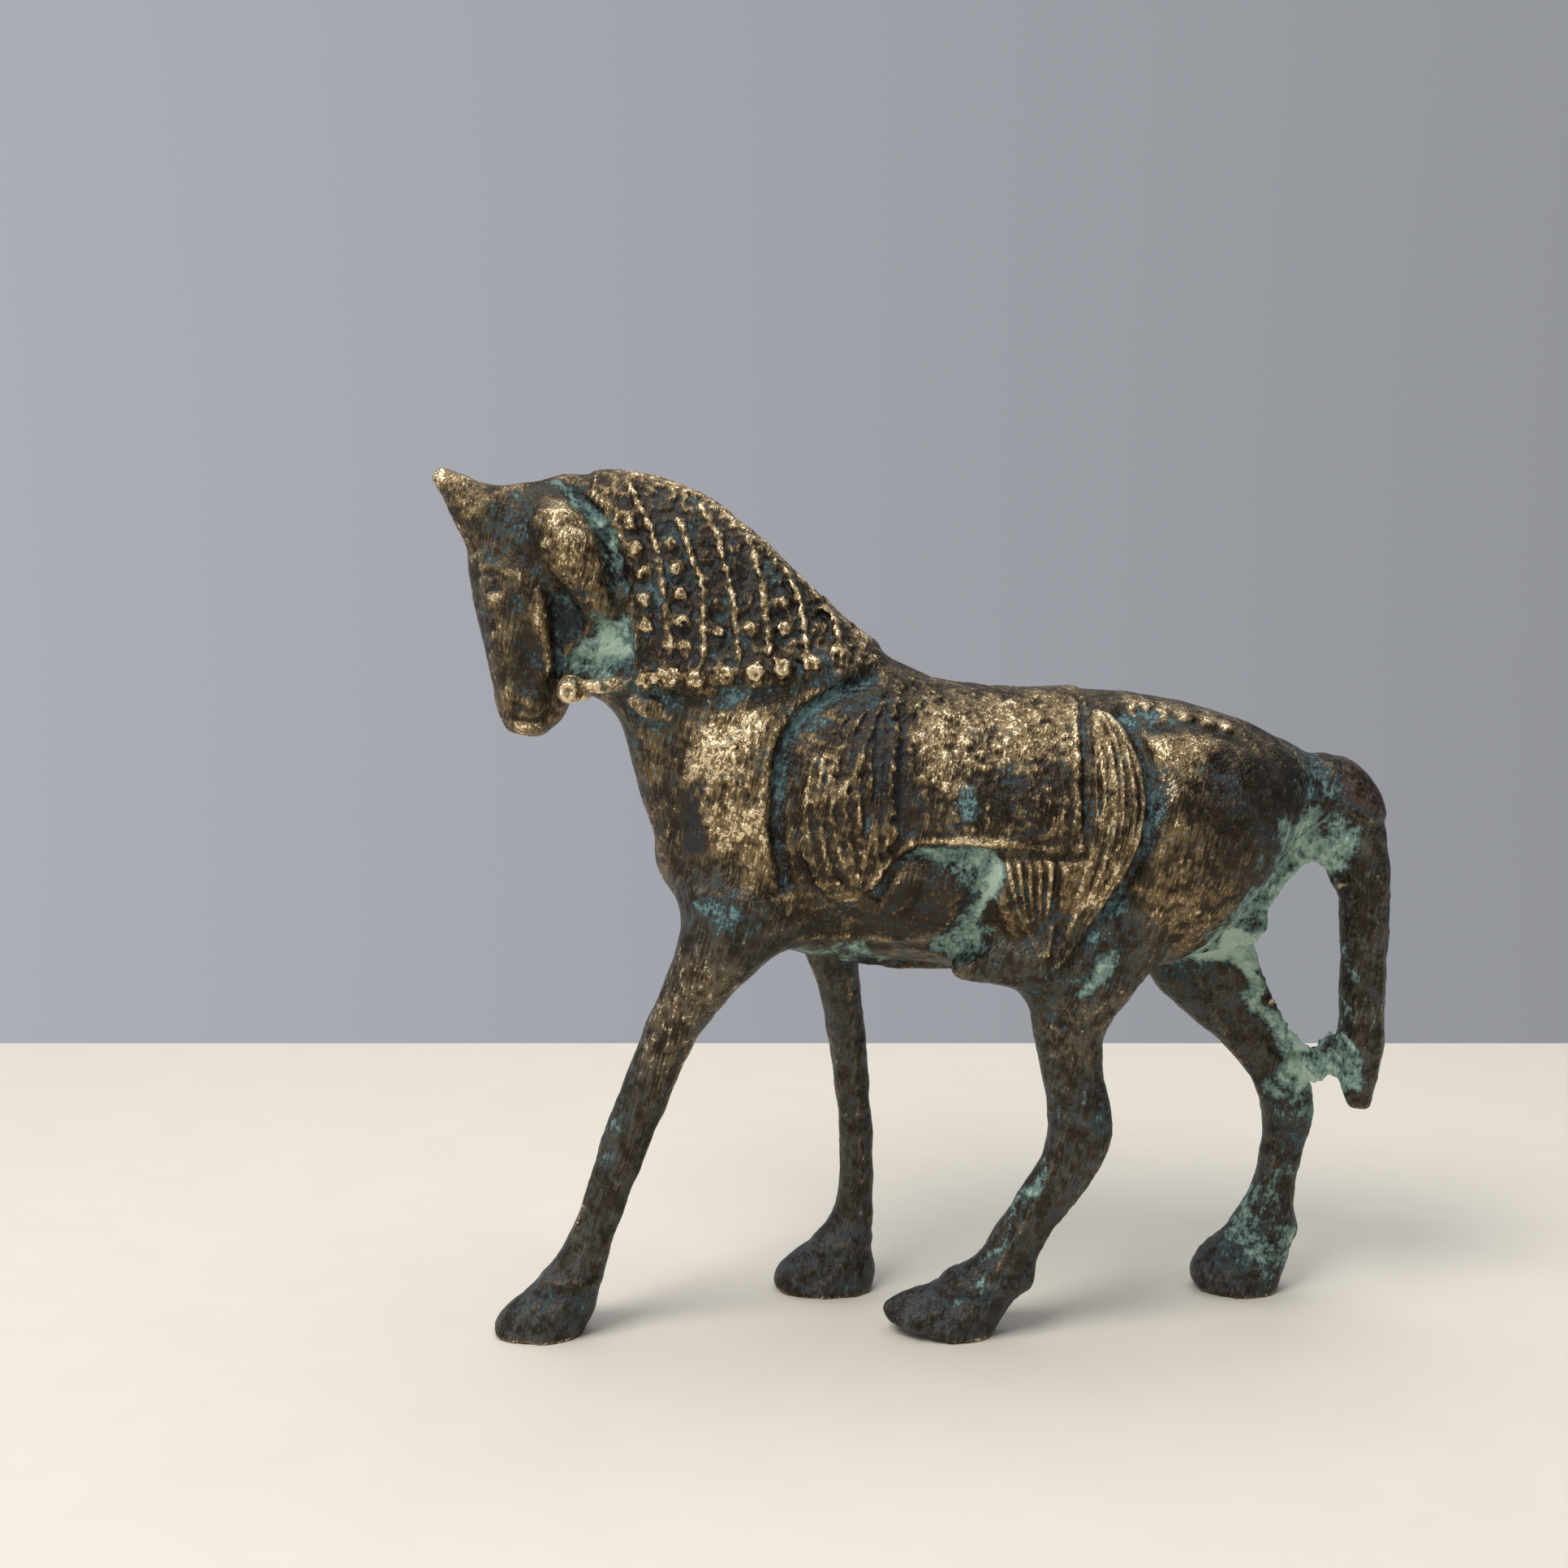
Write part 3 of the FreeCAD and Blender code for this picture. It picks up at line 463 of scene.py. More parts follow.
# ---------------------------------------------------------------- relief of the trunk
def sculpt_shoulder(side):
    shoulder = trunk((6, 78), (10, 84), (15, 87), (18, 83), (18, 70), (18, 55), (18, 36), (13, 28), (8, 40),
                     (5, 59))
    side.pad(shoulder, 0.9, 7.0)
    # Painted highlight: the upper part of the shoulder, where the light from the upper left falls, is given
    # gold; the grain laid there is the cast skin's own.
    bright = trunk((6, 76), (10, 83), (16, 86), (17, 82), (15, 74), (15, 64), (18, 59), (17, 51), (14, 42),
                   (10, 43), (8, 48), (5, 59), (5, 67))
    side.pad(bright, 0.07, 3.0, "grain")
    side.mask("gold", bright, 0.55, 3.5)
    # Painted highlight: the strongest gold, on the top of the shoulder where the light falls most.
    painted_top_highlight = trunk((7, 78), (11, 84), (15, 86), (16, 80), (13, 73), (12, 68), (8, 64), (6, 70))
    side.mask("gold", painted_top_highlight, 0.8, 4.0)
    side.mask("gold", trunk((9, 52), (12, 58), (15, 52), (13, 44), (9, 46)), 0.35, 3.0)
    side.mask("gold", trunk((10, 45), (18, 48), (19, 30), (14, 26)), 0.25, 3.0)
    side.mask("dark", trunk((4, 66), (8, 64), (8, 52), (7, 42), (4, 44)), 0.8, 2.5)
    side.mask("teal", trunk((8, 27), (16, 25), (15, 15), (8, 17)), 0.85, 2.5)
    side.mask("teal", trunk((-4, 90), (4, 92), (6, 86), (-2, 82)), 0.5, 2.0)
    side.ridge(trunk((-3, 98), (6, 92), (14, 90), (20, 93)), 2.6, 0.5, layer="teal")


def sculpt_collar(side):
    route = ((34, 98), (28, 93), (23, 87), (20, 79), (18.5, 70), (18.2, 61), (18, 50), (18.6, 38), (20, 27))
    side.ridge(trunk(*route), 2.2, -1.3, taper=0.08)
    side.ridge([(x - 1.5, z + 0.9) for x, z in trunk(*route)], 1.3, 0.35)
    side.ridge(trunk(*route), 4.6, 0.34, taper=0.06, layer="teal")
    side.ridge(trunk(*route), 4.0, 0.5, taper=0.06, layer="dark")
    side.ridge(trunk(*route[1:4]), 2.4, 0.35, taper=0.3, layer="teal")
    side.ridge(trunk(*route[1:3]), 1.6, 0.4, taper=0.3, layer="pale")


def sculpt_front_flap(side, rng):
    flap = trunk((34, 92), (27, 86), (23, 78), (21, 68), (20.5, 55), (21, 40), (24, 28), (28, 26), (32, 34),
                 (34, 46), (35, 60), (35.5, 76))
    side.pad(flap, 0.5, 5.0)
    side.pad(flap, 0.07, 2.0, "grain")
    shape = ((32, 90), (27, 84), (23.5, 74), (21.8, 62), (21.5, 50), (22.4, 38), (25, 29))
    for strand in range(9):
        share = 0.06 + 0.1 * strand
        middle = trunk((34, 55))[0][0]
        bent = [(x + share * (middle - x) + 0.35 * math.sin(1.7 * n + 2.1 * strand), z)
                for n, (x, z) in enumerate(trunk(*shape))]
        first, last = strand % 3, len(bent) - (strand + 1) % 3
        side.ridge(bent[first:last], 0.8, 0.16 + 0.16 * rng.random(), taper=0.2)
        side.ridge([(x + 0.6, z) for x, z in bent[first:last]], 0.7, -0.16 - 0.1 * rng.random(), taper=0.2)
    side.ridge(trunk((31, 76), (28, 64), (25.5, 57)), 1.2, 0.4)
    side.ridge(trunk((27.5, 52), (27, 43), (28.3, 36)), 1.1, 0.35)
    side.ridge(trunk((32.5, 66), (31, 56), (30, 46), (30, 36)), 1.3, -0.5)
    side.ridge(trunk((32.5, 54), (31, 48), (30.4, 40), (29, 31)), 1.2, 0.35)
    side.ridge(trunk((35.2, 97), (35, 84), (34.6, 74), (34, 63), (33, 53)), 1.5, 0.45)
    side.mask("dark", flap, 0.3, 4.0)
    for route, value in ((((31, 76), (28, 64), (25.5, 57)), 0.5), (((27.5, 52), (27, 43), (28.3, 36)), 0.45),
                         (((24, 82), (22.4, 66), (22, 50)), 0.25), (((27, 82), (25.4, 66), (24.6, 50)), 0.3),
                         (((32.5, 52), (30.5, 44), (29, 32)), 0.3), (((24, 46), (26, 36), (28, 30)), 0.2)):
        side.ridge(trunk(*route), 2.0, value, layer="gold")
    side.mask("dark", trunk((29, 92), (35, 92), (38, 80), (38, 58), (33, 52), (30, 66), (29, 80)), 0.5, 6.0)
    side.ridge(trunk((35.2, 97), (35, 84), (34.6, 74), (34, 63)), 1.6, 0.35, layer="teal")
    side.ridge(trunk((32.5, 66), (31, 56), (30, 46)), 1.3, 0.7, layer="teal")
    side.mask("teal", trunk((26, 30), (30, 28), (29, 18), (26, 18)), 0.4, 2.5)


def sculpt_saddle(side):
    seat = trunk((36, 98), (35, 72), (34, 52), (37, 46), (46, 46), (60, 45), (61, 70), (62, 96))
    side.pad(seat, 0.07, 2.0, "grain")
    worn = trunk((39, 84), (49, 88), (60, 87), (60, 73), (52, 68), (47, 66), (44, 60), (39, 62))
    side.mask("gold", worn, 0.6, 4.0)
    side.mask("gold", trunk((52, 62), (60, 60), (60, 48), (52, 50)), 0.35, 3.0)
    side.mask("dark", trunk((46, 68), (52, 70), (58, 74), (60, 66), (60, 48), (50, 48), (47, 58)), 0.55, 4.0)
    side.mask("dark", trunk((36, 66), (42, 62), (42, 48), (36, 48)), 0.3, 3.0)
    side.mask("teal", trunk((43.6, 63), (46, 63), (46, 50), (43, 51)), 1.0, 1.6)
    side.mask("red", trunk((46, 97), (50, 96), (54, 97), (54, 94), (50, 93), (46, 94)), 0.35, 1.0)
    border = ((31, 30), (33, 37), (35.5, 43.5), (38, 46), (42, 46), (50, 45.5), (56, 43.5), (61.5, 44))
    side.ridge(trunk(*border), 1.2, 0.35, taper=0.05)
    side.ridge([(x + 0.5, z - 1.5) for x, z in trunk(*border[:6])], 1.4, -0.45, taper=0.05)
    side.ridge(trunk(*border), 1.3, 0.2, taper=0.05, layer="gold")
    groove = trunk((61.8, 92), (61.4, 74), (61.2, 60), (61.2, 47))
    rear_edge = trunk((60.6, 90), (60.2, 74), (60, 60), (60, 47))
    side.ridge(trunk((41, 46), (46, 46), (51, 45.5)), 1.3, 0.35, layer="gold")
    side.ridge(groove, 0.7, -0.5, taper=0.06)
    side.ridge(rear_edge, 0.9, 0.25, taper=0.06)
    side.ridge(rear_edge, 1.2, 0.3, taper=0.06, layer="gold")
    side.ridge(groove, 1.0, 0.5, taper=0.06, layer="dark")


def sculpt_rear_flap(side, rng):
    flap = trunk((63, 92), (67, 82), (69.5, 68), (69.5, 54), (67, 38), (63, 24), (58, 6), (54, 6), (50, 22),
                 (48.5, 40), (60, 42), (62, 60))
    side.pad(flap, 0.45, 4.0)
    edge = ((64.5, 88), (67, 80), (68.5, 70), (69, 58), (68, 45), (65.8, 34), (62.8, 23), (59.5, 11), (57, 4))
    inner = ((62.6, 86), (62.8, 79), (62.8, 70), (62.6, 58), (62.2, 46), (61, 34), (59.4, 23), (57.8, 11),
             (56.6, 4))
    strands = 8
    for strand in range(strands):
        share = (strand + 0.3 * rng.random()) / (strands - 0.7)
        first, last = (0, 9) if strand in (0, strands - 1) else (rng.integers(0, 2), 9 - rng.integers(0, 3))
        line = [(a + share * (c - a), b + share * (d - b)) for (a, b), (c, d) in zip(inner, edge)][first:last]
        wavy = [(x + 0.12 * math.sin(2.3 * n + strand), z) for n, (x, z) in enumerate(trunk(*line))]
        side.ridge(wavy, 0.75, 0.22 + 0.12 * rng.random(), taper=0.08)
        side.ridge([(x - 0.5, z + 0.1) for x, z in wavy], 0.6, -0.22, taper=0.12)
        side.ridge(wavy, 0.9, 0.15 + 0.3 * rng.random(), taper=0.1, layer="gold")
    pleats = 6
    for pleat in range(pleats):
        top = 49.8 + 9.6 * pleat / pleats
        route = ((top, 41), (0.8 * top + 11.2, 30), (0.45 * top + 30.8, 18), (0.15 * top + 47.8, 8))
        wavy = [(x + 0.12 * math.sin(1.9 * n + pleat), z) for n, (x, z) in enumerate(trunk(*route))]
        side.ridge(wavy, 0.8, 0.3, taper=0.08)
        side.ridge([(x - 0.6, z) for x, z in wavy], 0.65, -0.3, taper=0.12)
        side.ridge(wavy, 0.9, 0.3, taper=0.1, layer="gold")
    side.ridge(trunk((57.6, 41), (57.4, 30), (57, 18)), 1.0, -0.7)
    side.mask("dark", flap, 0.15, 3.0)
    side.mask("gold", trunk((64, 80), (66.6, 72), (66.6, 56), (64, 50), (63, 64)), 0.35, 2.5)
    side.mask("gold", trunk((59, 42), (66, 40), (62, 24), (58, 16)), 0.2, 2.5)
    outer = [(x + 1.7, z) for x, z in trunk(*edge)]
    side.ridge(outer, 2.2, -0.9, taper=0.1)
    side.ridge(trunk((70.5, 84), (72, 66), (71.6, 50), (69, 36)), 3.4, 0.55, layer="teal")
    side.ridge(trunk((71.6, 68), (72, 58), (71.6, 50)), 1.8, 0.4, layer="teal")
    side.ridge(trunk((68, 30), (64, 14), (60, 2)), 2.4, 0.6, layer="teal")


def sculpt_girth(side):
    recess = trunk((36, 41), (37.5, 44), (41, 44.5), (48, 43), (49.5, 36), (48.5, 24), (48.5, 12), (46, 6),
                   (40, 10), (43.5, 20), (45, 30), (46, 35), (41, 39), (38, 40))
    side.pad(recess, -0.8, 1.8)
    side.mask("pale", recess, 0.8, 3.4)
    side.ridge(trunk((47.4, 40), (48, 30), (47.4, 18)), 2.6, 0.35, taper=0.2, layer="pale")
    side.mask("teal", recess, 0.5, 4.0)
    patch = trunk((31, 22), (35, 34), (38, 38), (43, 37), (45, 32), (42, 16), (32, 12))
    side.pad(patch, 0.5, 2.4)
    side.mask("dark", patch, 0.6, 3.0)
    side.ridge(trunk((37, 34), (36.6, 27), (34, 21)), 1.4, 0.4)
    side.ridge(trunk((38.6, 34), (38.2, 26), (35.5, 20)), 1.0, -0.3)
    side.ridge(trunk((18, 13), (24, 13), (33, 12.6), (44, 12)), 1.2, 0.3)
    side.mask("pale", trunk((22, 10), (32, 9), (34, 3), (28, 2), (22, 6)), 0.6, 1.5)


def sculpt_haunch(side):
    haunch = trunk((71, 77), (75, 79), (83, 76), (90, 66), (93, 50), (91, 30), (85, 10), (76, 0), (70, 6),
                   (69, 24), (71, 44), (71.5, 60))
    side.pad(haunch, 1.1, 6.0)
    side.ridge(trunk((70, 78), (74, 81), (80, 80), (88, 72)), 1.8, -0.7)
    side.mask("gold", trunk((71.5, 76), (75, 78), (80, 76), (77, 64), (73, 60)), 0.5, 3.0)
    side.mask("gold", trunk((72, 40), (84, 44), (88, 26), (80, 8), (71, 14)), 0.12, 6.0)
    side.mask("dark", trunk((78, 74), (92, 66), (96, 44), (90, 26), (82, 30), (78, 56)), 0.55, 6.0)
    studs = ((69.4, 88.5, 0.9), (71.4, 88, 1.1), (74, 86, 1.3), (77, 84.5, 1.2), (80.6, 83, 1.2),
             (83, 81, 1.0))
    for u, w, radius in studs:
        side.dot(trunk((u, w))[0], radius, 0.55)
        side.dot(trunk((u, w))[0], 1.2 * radius, 0.7, "gold")
        side.dot(trunk((u + 1, w - 2.4))[0], 0.8 * radius, -0.4)
    side.mask("teal", trunk((67, 83), (73, 84), (76, 80), (68, 79)), 0.8, 1.5)
    side.mask("pale", trunk((58, -1), (61, 5), (64, 10), (67, 9), (66, 2), (62, -4)), 1.0, 5.0)
    side.mask("teal", trunk((53, -4), (58, 4), (64, 20), (70, 26), (70, 10), (66, -4), (58, -8)), 0.6, 6.0)
    side.mask("teal", trunk((93, 76), (99, 72), (98, 56), (92, 60)), 0.4, 3.0)


# ---------------------------------------------------------------- relief of the legs, tail and flash
def sculpt_hoof(side, name):
    foot = partial(at, name)
    side.ridge(foot((2, 62), (30, 88), (70, 96), (100, 88)), 1.1, 0.35, taper=0.1)
    side.ridge(foot((6, 34), (28, 56), (60, 72), (98, 70)), 1.4, -0.45)
    side.ridge(foot((24, 10), (40, 40), (62, 84)), 1.3, -0.5)
    side.ridge(foot((44, 6), (56, 36), (74, 78)), 1.2, 0.4)
    side.ridge(foot((66, 4), (74, 34), (86, 70)), 1.2, -0.4)
    side.ridge(foot((-2, 6), (30, 2), (70, 2), (100, 6)), 1.0, 0.3, taper=0.05)
    side.ridge(foot((-2, 4), (30, 0), (70, 0), (100, 4)), 1.0, 0.5, taper=0.05, layer="gold")
    side.mask("dark", foot((-8, -10), (-8, 100), (108, 100), (108, -10)), 0.35, 4.0)


def sculpt_near_fore_leg(left):
    leg = partial(at, "left_fore_leg")
    left.mask("gold", leg((42, 84), (62, 84), (84, 74), (66, 52), (52, 44), (40, 60)), 0.75, 6.0)
    left.ridge(leg((46, 70), (38, 44), (26, 20)), 2.6, 0.35)
    left.ridge(leg((66, 62), (50, 36), (32, 8)), 1.3, 0.5, taper=0.1)
    left.ridge(leg((58, 62), (42, 36), (28, 12)), 1.4, -0.45, taper=0.1)
    left.ridge(leg((36, 66), (24, 40), (12, 8)), 1.2, 0.35, taper=0.1)
    left.mask("gold", leg((40, 46), (52, 40), (40, 14), (26, 12)), 0.18, 6.0)


def sculpt_near_hind_leg(left):
    leg = partial(at, "left_hind_leg")
    left.mask("gold", leg((44, 78), (84, 82), (86, 64), (50, 60)), 0.55, 4.0)
    left.ridge(leg((44, 74), (60, 70), (88, 78)), 1.4, -0.35)
    left.ridge(leg((90, 58), (84, 46), (66, 28), (46, 8)), 1.8, 0.4, taper=0.1)
    left.ridge(leg((70, 56), (70, 42), (54, 24), (34, 6)), 2.0, -0.45, taper=0.1)
    left.ridge(leg((54, 60), (54, 42), (38, 22), (18, 4)), 1.3, 0.5, taper=0.1)
    left.ridge(leg((50, 56), (50, 40), (34, 21), (14, 4)), 2.0, 0.75, taper=0.1, layer="teal")
    left.ridge(leg((48, 50), (46, 36), (30, 19), (12, 3)), 1.2, 0.7, taper=0.1, layer="pale")
    left.mask("teal", leg((60, 58), (82, 60), (90, 46), (78, 40), (60, 46)), 0.5, 4.0)
    left.mask("pale", leg((64, 56), (72, 57), (74, 50), (64, 49)), 0.55, 3.0)


def sculpt_far_legs(right):
    hind = partial(at, "right_hind_leg")
    right.ridge(hind((40, 70), (62, 54), (76, 42)), 3.6, -0.5)
    right.ridge(hind((26, 84), (44, 66), (64, 48)), 1.3, 0.4, taper=0.1)
    right.ridge(hind((52, 84), (66, 68), (82, 52), (92, 42)), 3.4, 0.8, layer="pale")
    right.mask("pale", hind((2, 96), (30, 100), (60, 96), (48, 84), (24, 84)), 0.9, 4.0)
    right.mask("teal", hind((0, 90), (40, 96), (64, 84), (40, 74), (14, 78)), 0.45, 4.0)
    right.mask("pale", hind((74, 46), (100, 50), (106, 36), (84, 34)), 0.55, 5.0)
    right.mask("teal", hind((70, 44), (104, 50), (108, 30), (80, 28)), 0.6, 5.0)
    right.mask("pale", hind((70, 24), (92, 26), (90, 0), (50, -2), (56, 10)), 0.5, 6.0)
    right.mask("teal", hind((66, 26), (96, 28), (94, -4), (40, -4), (52, 12)), 0.55, 5.0)
    right.ridge(hind((78, 26), (72, 14), (60, 2)), 1.2, 0.45, taper=0.1)
    right.mask("pale", at("right_hind_hoof", (50, 106), (106, 106), (100, 30), (66, 30)), 0.55, 4.0)
    right.mask("teal", at("right_hind_hoof", (10, 100), (106, 110), (106, 10), (50, 0)), 0.45, 4.0)
    fore = partial(at, "right_fore_leg")
    right.mask("teal", fore((20, 96), (84, 98), (80, 72), (40, 68)), 0.55, 4.0)
    right.mask("pale", fore((20, 102), (80, 104), (70, 90), (30, 88)), 0.6, 4.0)
    right.ridge(fore((44, 84), (52, 50), (60, 12)), 1.2, -0.4, taper=0.1)
    right.ridge(fore((68, 84), (76, 50), (82, 12)), 1.0, 0.35, taper=0.1)


def sculpt_legs(left, right):
    for side, name in ((left, "left"), (right, "right")):
        for end in ("fore", "hind"):
            shank = at(f"{name}_{end}_leg", (-20, 74), (120, 66), (130, -20), (-30, -20))
            side.mask("dark", shank, 0.35, 18.0)
            sculpt_hoof(side, f"{name}_{end}_hoof")
    sculpt_near_fore_leg(left)
    sculpt_near_hind_leg(left)
    sculpt_far_legs(right)


def sculpt_tail(side):
    for share in (-0.30, -0.1, 0.1, 0.30):
        line = [(x + share * 6.0, z) for x, z in tail((72, 70), (73, 50), (73, 30), (72, 10))]
        side.ridge(line, 0.9, 0.32, taper=0.1)
    side.ridge(at("tail_band", (2, 40), (20, 10), (50, -4), (96, -2)), 1.2, 0.4, taper=0.05)
    band = at("tail_band", (10, 96), (60, 90), (96, 30), (96, 4), (50, 4), (24, 24), (6, 60))
    side.mask("red", band, 0.25, 1.5)
    side.mask("dark", band, 0.45, 2.0)
    side.dot(tail((4, 81))[0], 1.5, 1.0, "red")
    side.mask("teal", tail((10, 96), (40, 92), (30, 82), (4, 84)), 0.5, 3.0)
    side.mask("dark", tail((30, 60), (110, 60), (110, -8), (30, -8)), 0.4, 14.0)
    side.ridge(tail((44, 66), (46, 40), (52, 10)), 1.2, 0.7, layer="pale")


def sculpt_flash(side):
    rim = web((50, 110), (96, 110), (108, 74), (92, 44), (70, 50), (54, 30), (40, -10), (-8, -12), (30, 60))
    side.mask("pale", rim, 0.85, 4.5)
    side.ridge(web((38, -4), (52, 22), (66, 62), (80, 88), (94, 72)), 3.2, 0.4, taper=0.1, layer="pale")
    side.mask("pale", at("leg_web", (-6, 104), (36, 104), (50, 74), (34, 60), (8, 76)), 0.8, 2.0)
    fin = at("leg_web", (30, 100), (34, 84), (52, 62), (74, 30), (100, 8))
    side.ridge(fin, 3.2, 0.9, taper=0.05, layer="pale")
    side.mask("pale", at("tail_bridge", (-10, 100), (110, 110), (110, -10), (0, -10)), 0.7, 1.5)
    hole = web((28, -14), (44, 16), (62, 60), (78, 84), (92, 76), (100, 40))
    side.ridge(hole, 1.8, 0.26, taper=0.05, layer="grain")
    side.ridge(at("leg_web", (22, 112), (34, 84), (60, 50), (100, 8)), 2.0, 0.26, taper=0.05, layer="grain")
    side.mask("grain", at("tail_bridge", (-4, 4), (-4, 100), (90, 100), (90, 4)), 0.16, 1.5)


def sculpt():
    """All the relief work. The right side repeats the left's with other random draws, but for its legs."""
    left, right = Side(), Side()
    for number, side in enumerate((left, right)):
        rng = np.random.default_rng(40 + number)
        sculpt_head(side)
        sculpt_ear(side)
        sculpt_mane(side, rng)
        sculpt_shoulder(side)
        sculpt_collar(side)
        sculpt_front_flap(side, rng)
        sculpt_saddle(side)
        sculpt_rear_flap(side, rng)
        sculpt_girth(side)
        sculpt_haunch(side)
        sculpt_tail(side)
        sculpt_flash(side)
    sculpt_legs(left, right)
    return left, right


# ---------------------------------------------------------------- the casting
FILLET = 1.0           # reach of the fillet between two members
WIDE_FILLETS = (       # node, place in its box in percent, reach of the fillet there, size of the spot
    ("left_fore_leg", 70, 50, 88, 4.2, 9), ("right_fore_leg", 55, 50, 94, 3.5, 8),
    ("left_hind_leg", 60, 50, 82, 4.2, 11), ("right_hind_leg", 30, 50, 88, 4.0, 10),
    ("torso", 8, 50, 66, 4.2, 14), ("torso", 34, 50, 98, 4.2, 12), ("tail", 10, 50, 92, 3.0, 7),
    ("torso", 8, 20, 21, 6.0, 9), ("torso", 16, 20, 20, 6.0, 9), ("torso", 23, 20, 17, 6.0, 8),
    ("head", 84, 50, 16, 3.0, 7), ("head", 60, 50, 96, 3.0, 7), ("left_ear", 95, 100, 10, 6.0, 6),
)
SWELLS = (             # node, place in its box seen from the side, how far it rises, size of the spot
    ("head", 38, 99, 0.9, 4.5), ("torso", 44.5, 4, 0.5, 2.4),
)
SINK = {               # how much lower than its CAD node a relief lies, because its shape is laid on it here
    "crupper": 1.1, "collar": 0.9, "mane_cords": 0.65, "mane_knots": 0.2, "front_flap": 0.7,
    "rear_flap": 0.3, "girth_pad": 0.3, "cheek_strap": 0.8, "saddle_border": 0.75, "saddle": 0.3,
}
CRACK = 0.15           # half the width of the cracks between members that are closed
SOFTENING = 0.40       # blur that takes the members' sharp edges off
LEVEL_SLOPE = 0.6      # relief fades where the surface's slope across the horse is under this
ACROSS = 3.0           # width of the strip along the spine where the two sides' reliefs blend
SKIN_GRAIN = 0.62      # sizes of the grains, dents and pits in the cast skin, and their heights
DENT = 2.6
DENT_DEPTH = 0.10
PIT = 0.8
PIT_DEPTH = 0.16
PIT_RARITY = 1.9       # the pits are where their noise is this many spreads above its middle


def member_of(name):
    """The node's name less its side."""
    return name.removeprefix("left_").removeprefix("right_")


def right_share(y):
    """How far a place belongs to the right side's relief: 0 on the left, 1 on the right."""
    return ease((y + ACROSS / 2) / ACROSS)


def cast(fields, left, right):
    """The whole casting as one field: filleted joints, relief, grain and pits."""
    first, second, _ = nearest_nodes({name: fields[name] for name in BODY + FLASH})
    reach = np.full(SHAPE, FILLET, np.float32)
    for name, u, v, w, fillet, size in WIDE_FILLETS:
        spot = (fillet - FILLET) * ease(1.5 * bump_at(inside_box(name, u, v, w), (size, size, size)))
        np.maximum(reach, FILLET + spot, out=reach)
    field = smooth_union(first, second, reach)
    del first, second, reach
    for name, (window, values) in fields.items():
        if name not in BODY + FLASH:
            field[window] = np.minimum(field[window], values + SINK.get(member_of(name), 0.0))
    field = blur(merged(field, CRACK), SOFTENING)
    for name, u, w, rise, size in SWELLS:
        field -= rise * bump_at(inside_box(name, u, 50, w), (size, 10 * size, size))
    facing = ease(np.abs(np.gradient(blur(field, 1.0), VOXEL, axis=1)) / LEVEL_SLOPE)
    share = right_share(YS)[None, :, None]
    height = left.height[:, None, :] * (1 - share) + right.height[:, None, :] * share
    field -= height * facing
    del height
    grain = left.grain[:, None, :] * (1 - share) + right.grain[:, None, :] * share
    field -= grain * (0.4 + 0.6 * facing) * noise(11, SKIN_GRAIN)
    field -= DENT_DEPTH * noise(12, DENT)
    field += PIT_DEPTH * ease((noise(13, PIT) - PIT_RARITY) / 0.8)
    return field


SKIRT_SLOPE = 0.35     # how fast a piece sinks below its neighbour past their border
SKIRT_REACH = 0.9      # how far past the border it goes on
CRUMB = 60             # a loose bit with fewer points than this is dropped
STAIN_DRIFT = 0.8      # how far a stain's edge strays from its outline
EDGE_REACH = 0.55      # a point's height above the casting blurred this much says how worn it is
FORM_REACH = 1.7       # and blurred this much, whether it is on a swelling or in a hollow


def sampled(field, cells):
    """Values of a field at points given in cells, weighed between the nearest grid points."""
    base = np.clip(np.floor(cells).astype(int), 0, np.array(field.shape) - 2)
    part = np.clip(cells - base, 0, 1).astype(np.float32)
    total = 0.0
    for corner in np.ndindex(*(2,) * field.ndim):
        weight = 1.0
        for axis, step in enumerate(corner):
            weight = weight * (part[:, axis] if step else 1 - part[:, axis])
        total = total + weight * field[tuple(base[:, axis] + step for axis, step in enumerate(corner))]
    return total


def own_solid(number, own, field, first, second, which, window):
    """One member's field: the casting's surface on its own ground, diving under its neighbours."""
    others = np.where(which[window] == number, second[window], first[window])
    border = (own - others) / 2
    solid = np.maximum(field[window] + SKIRT_SLOPE * np.maximum(border, 0), border - SKIRT_REACH)
    for axis in range(3):
        for end in (0, -1):
            np.moveaxis(solid, axis, 0)[end] = 1.0
    return solid


def without_crumbs(points, quads):
    """The mesh less its loose bits."""
    label = np.arange(len(points))
    a = quads.ravel()
    b = np.roll(quads, 1, axis=1).ravel()
    while True:
        low = np.minimum(label[a], label[b])
        new = label.copy()
        np.minimum.at(new, a, low)
        np.minimum.at(new, b, low)
        new = new[new]
        if np.array_equal(new, label):
            break
        label = new
    sizes = np.bincount(label, minlength=len(points))
    keep = sizes[label] >= min(CRUMB, sizes.max())
    number = np.cumsum(keep) - 1
    return points[keep], number[quads[keep[quads[:, 0]]]]


def mesh_of(name, points, quads):
    """A smooth shaded mesh in metres from points in millimetres."""
    mesh = bpy.data.meshes.new(name)
    mesh.vertices.add(len(points))
    mesh.vertices.foreach_set("co", (points / MM).astype(np.float32).ravel())
    mesh.loops.add(quads.size)
    mesh.loops.foreach_set("vertex_index", quads.astype(np.int32).ravel())
    mesh.polygons.add(len(quads))
    mesh.polygons.foreach_set("loop_start", np.arange(0, quads.size, 4, dtype=np.int32))
    mesh.polygons.foreach_set("use_smooth", np.ones(len(quads), bool))
    mesh.update(calc_edges=True)
    mesh.validate()
    return mesh


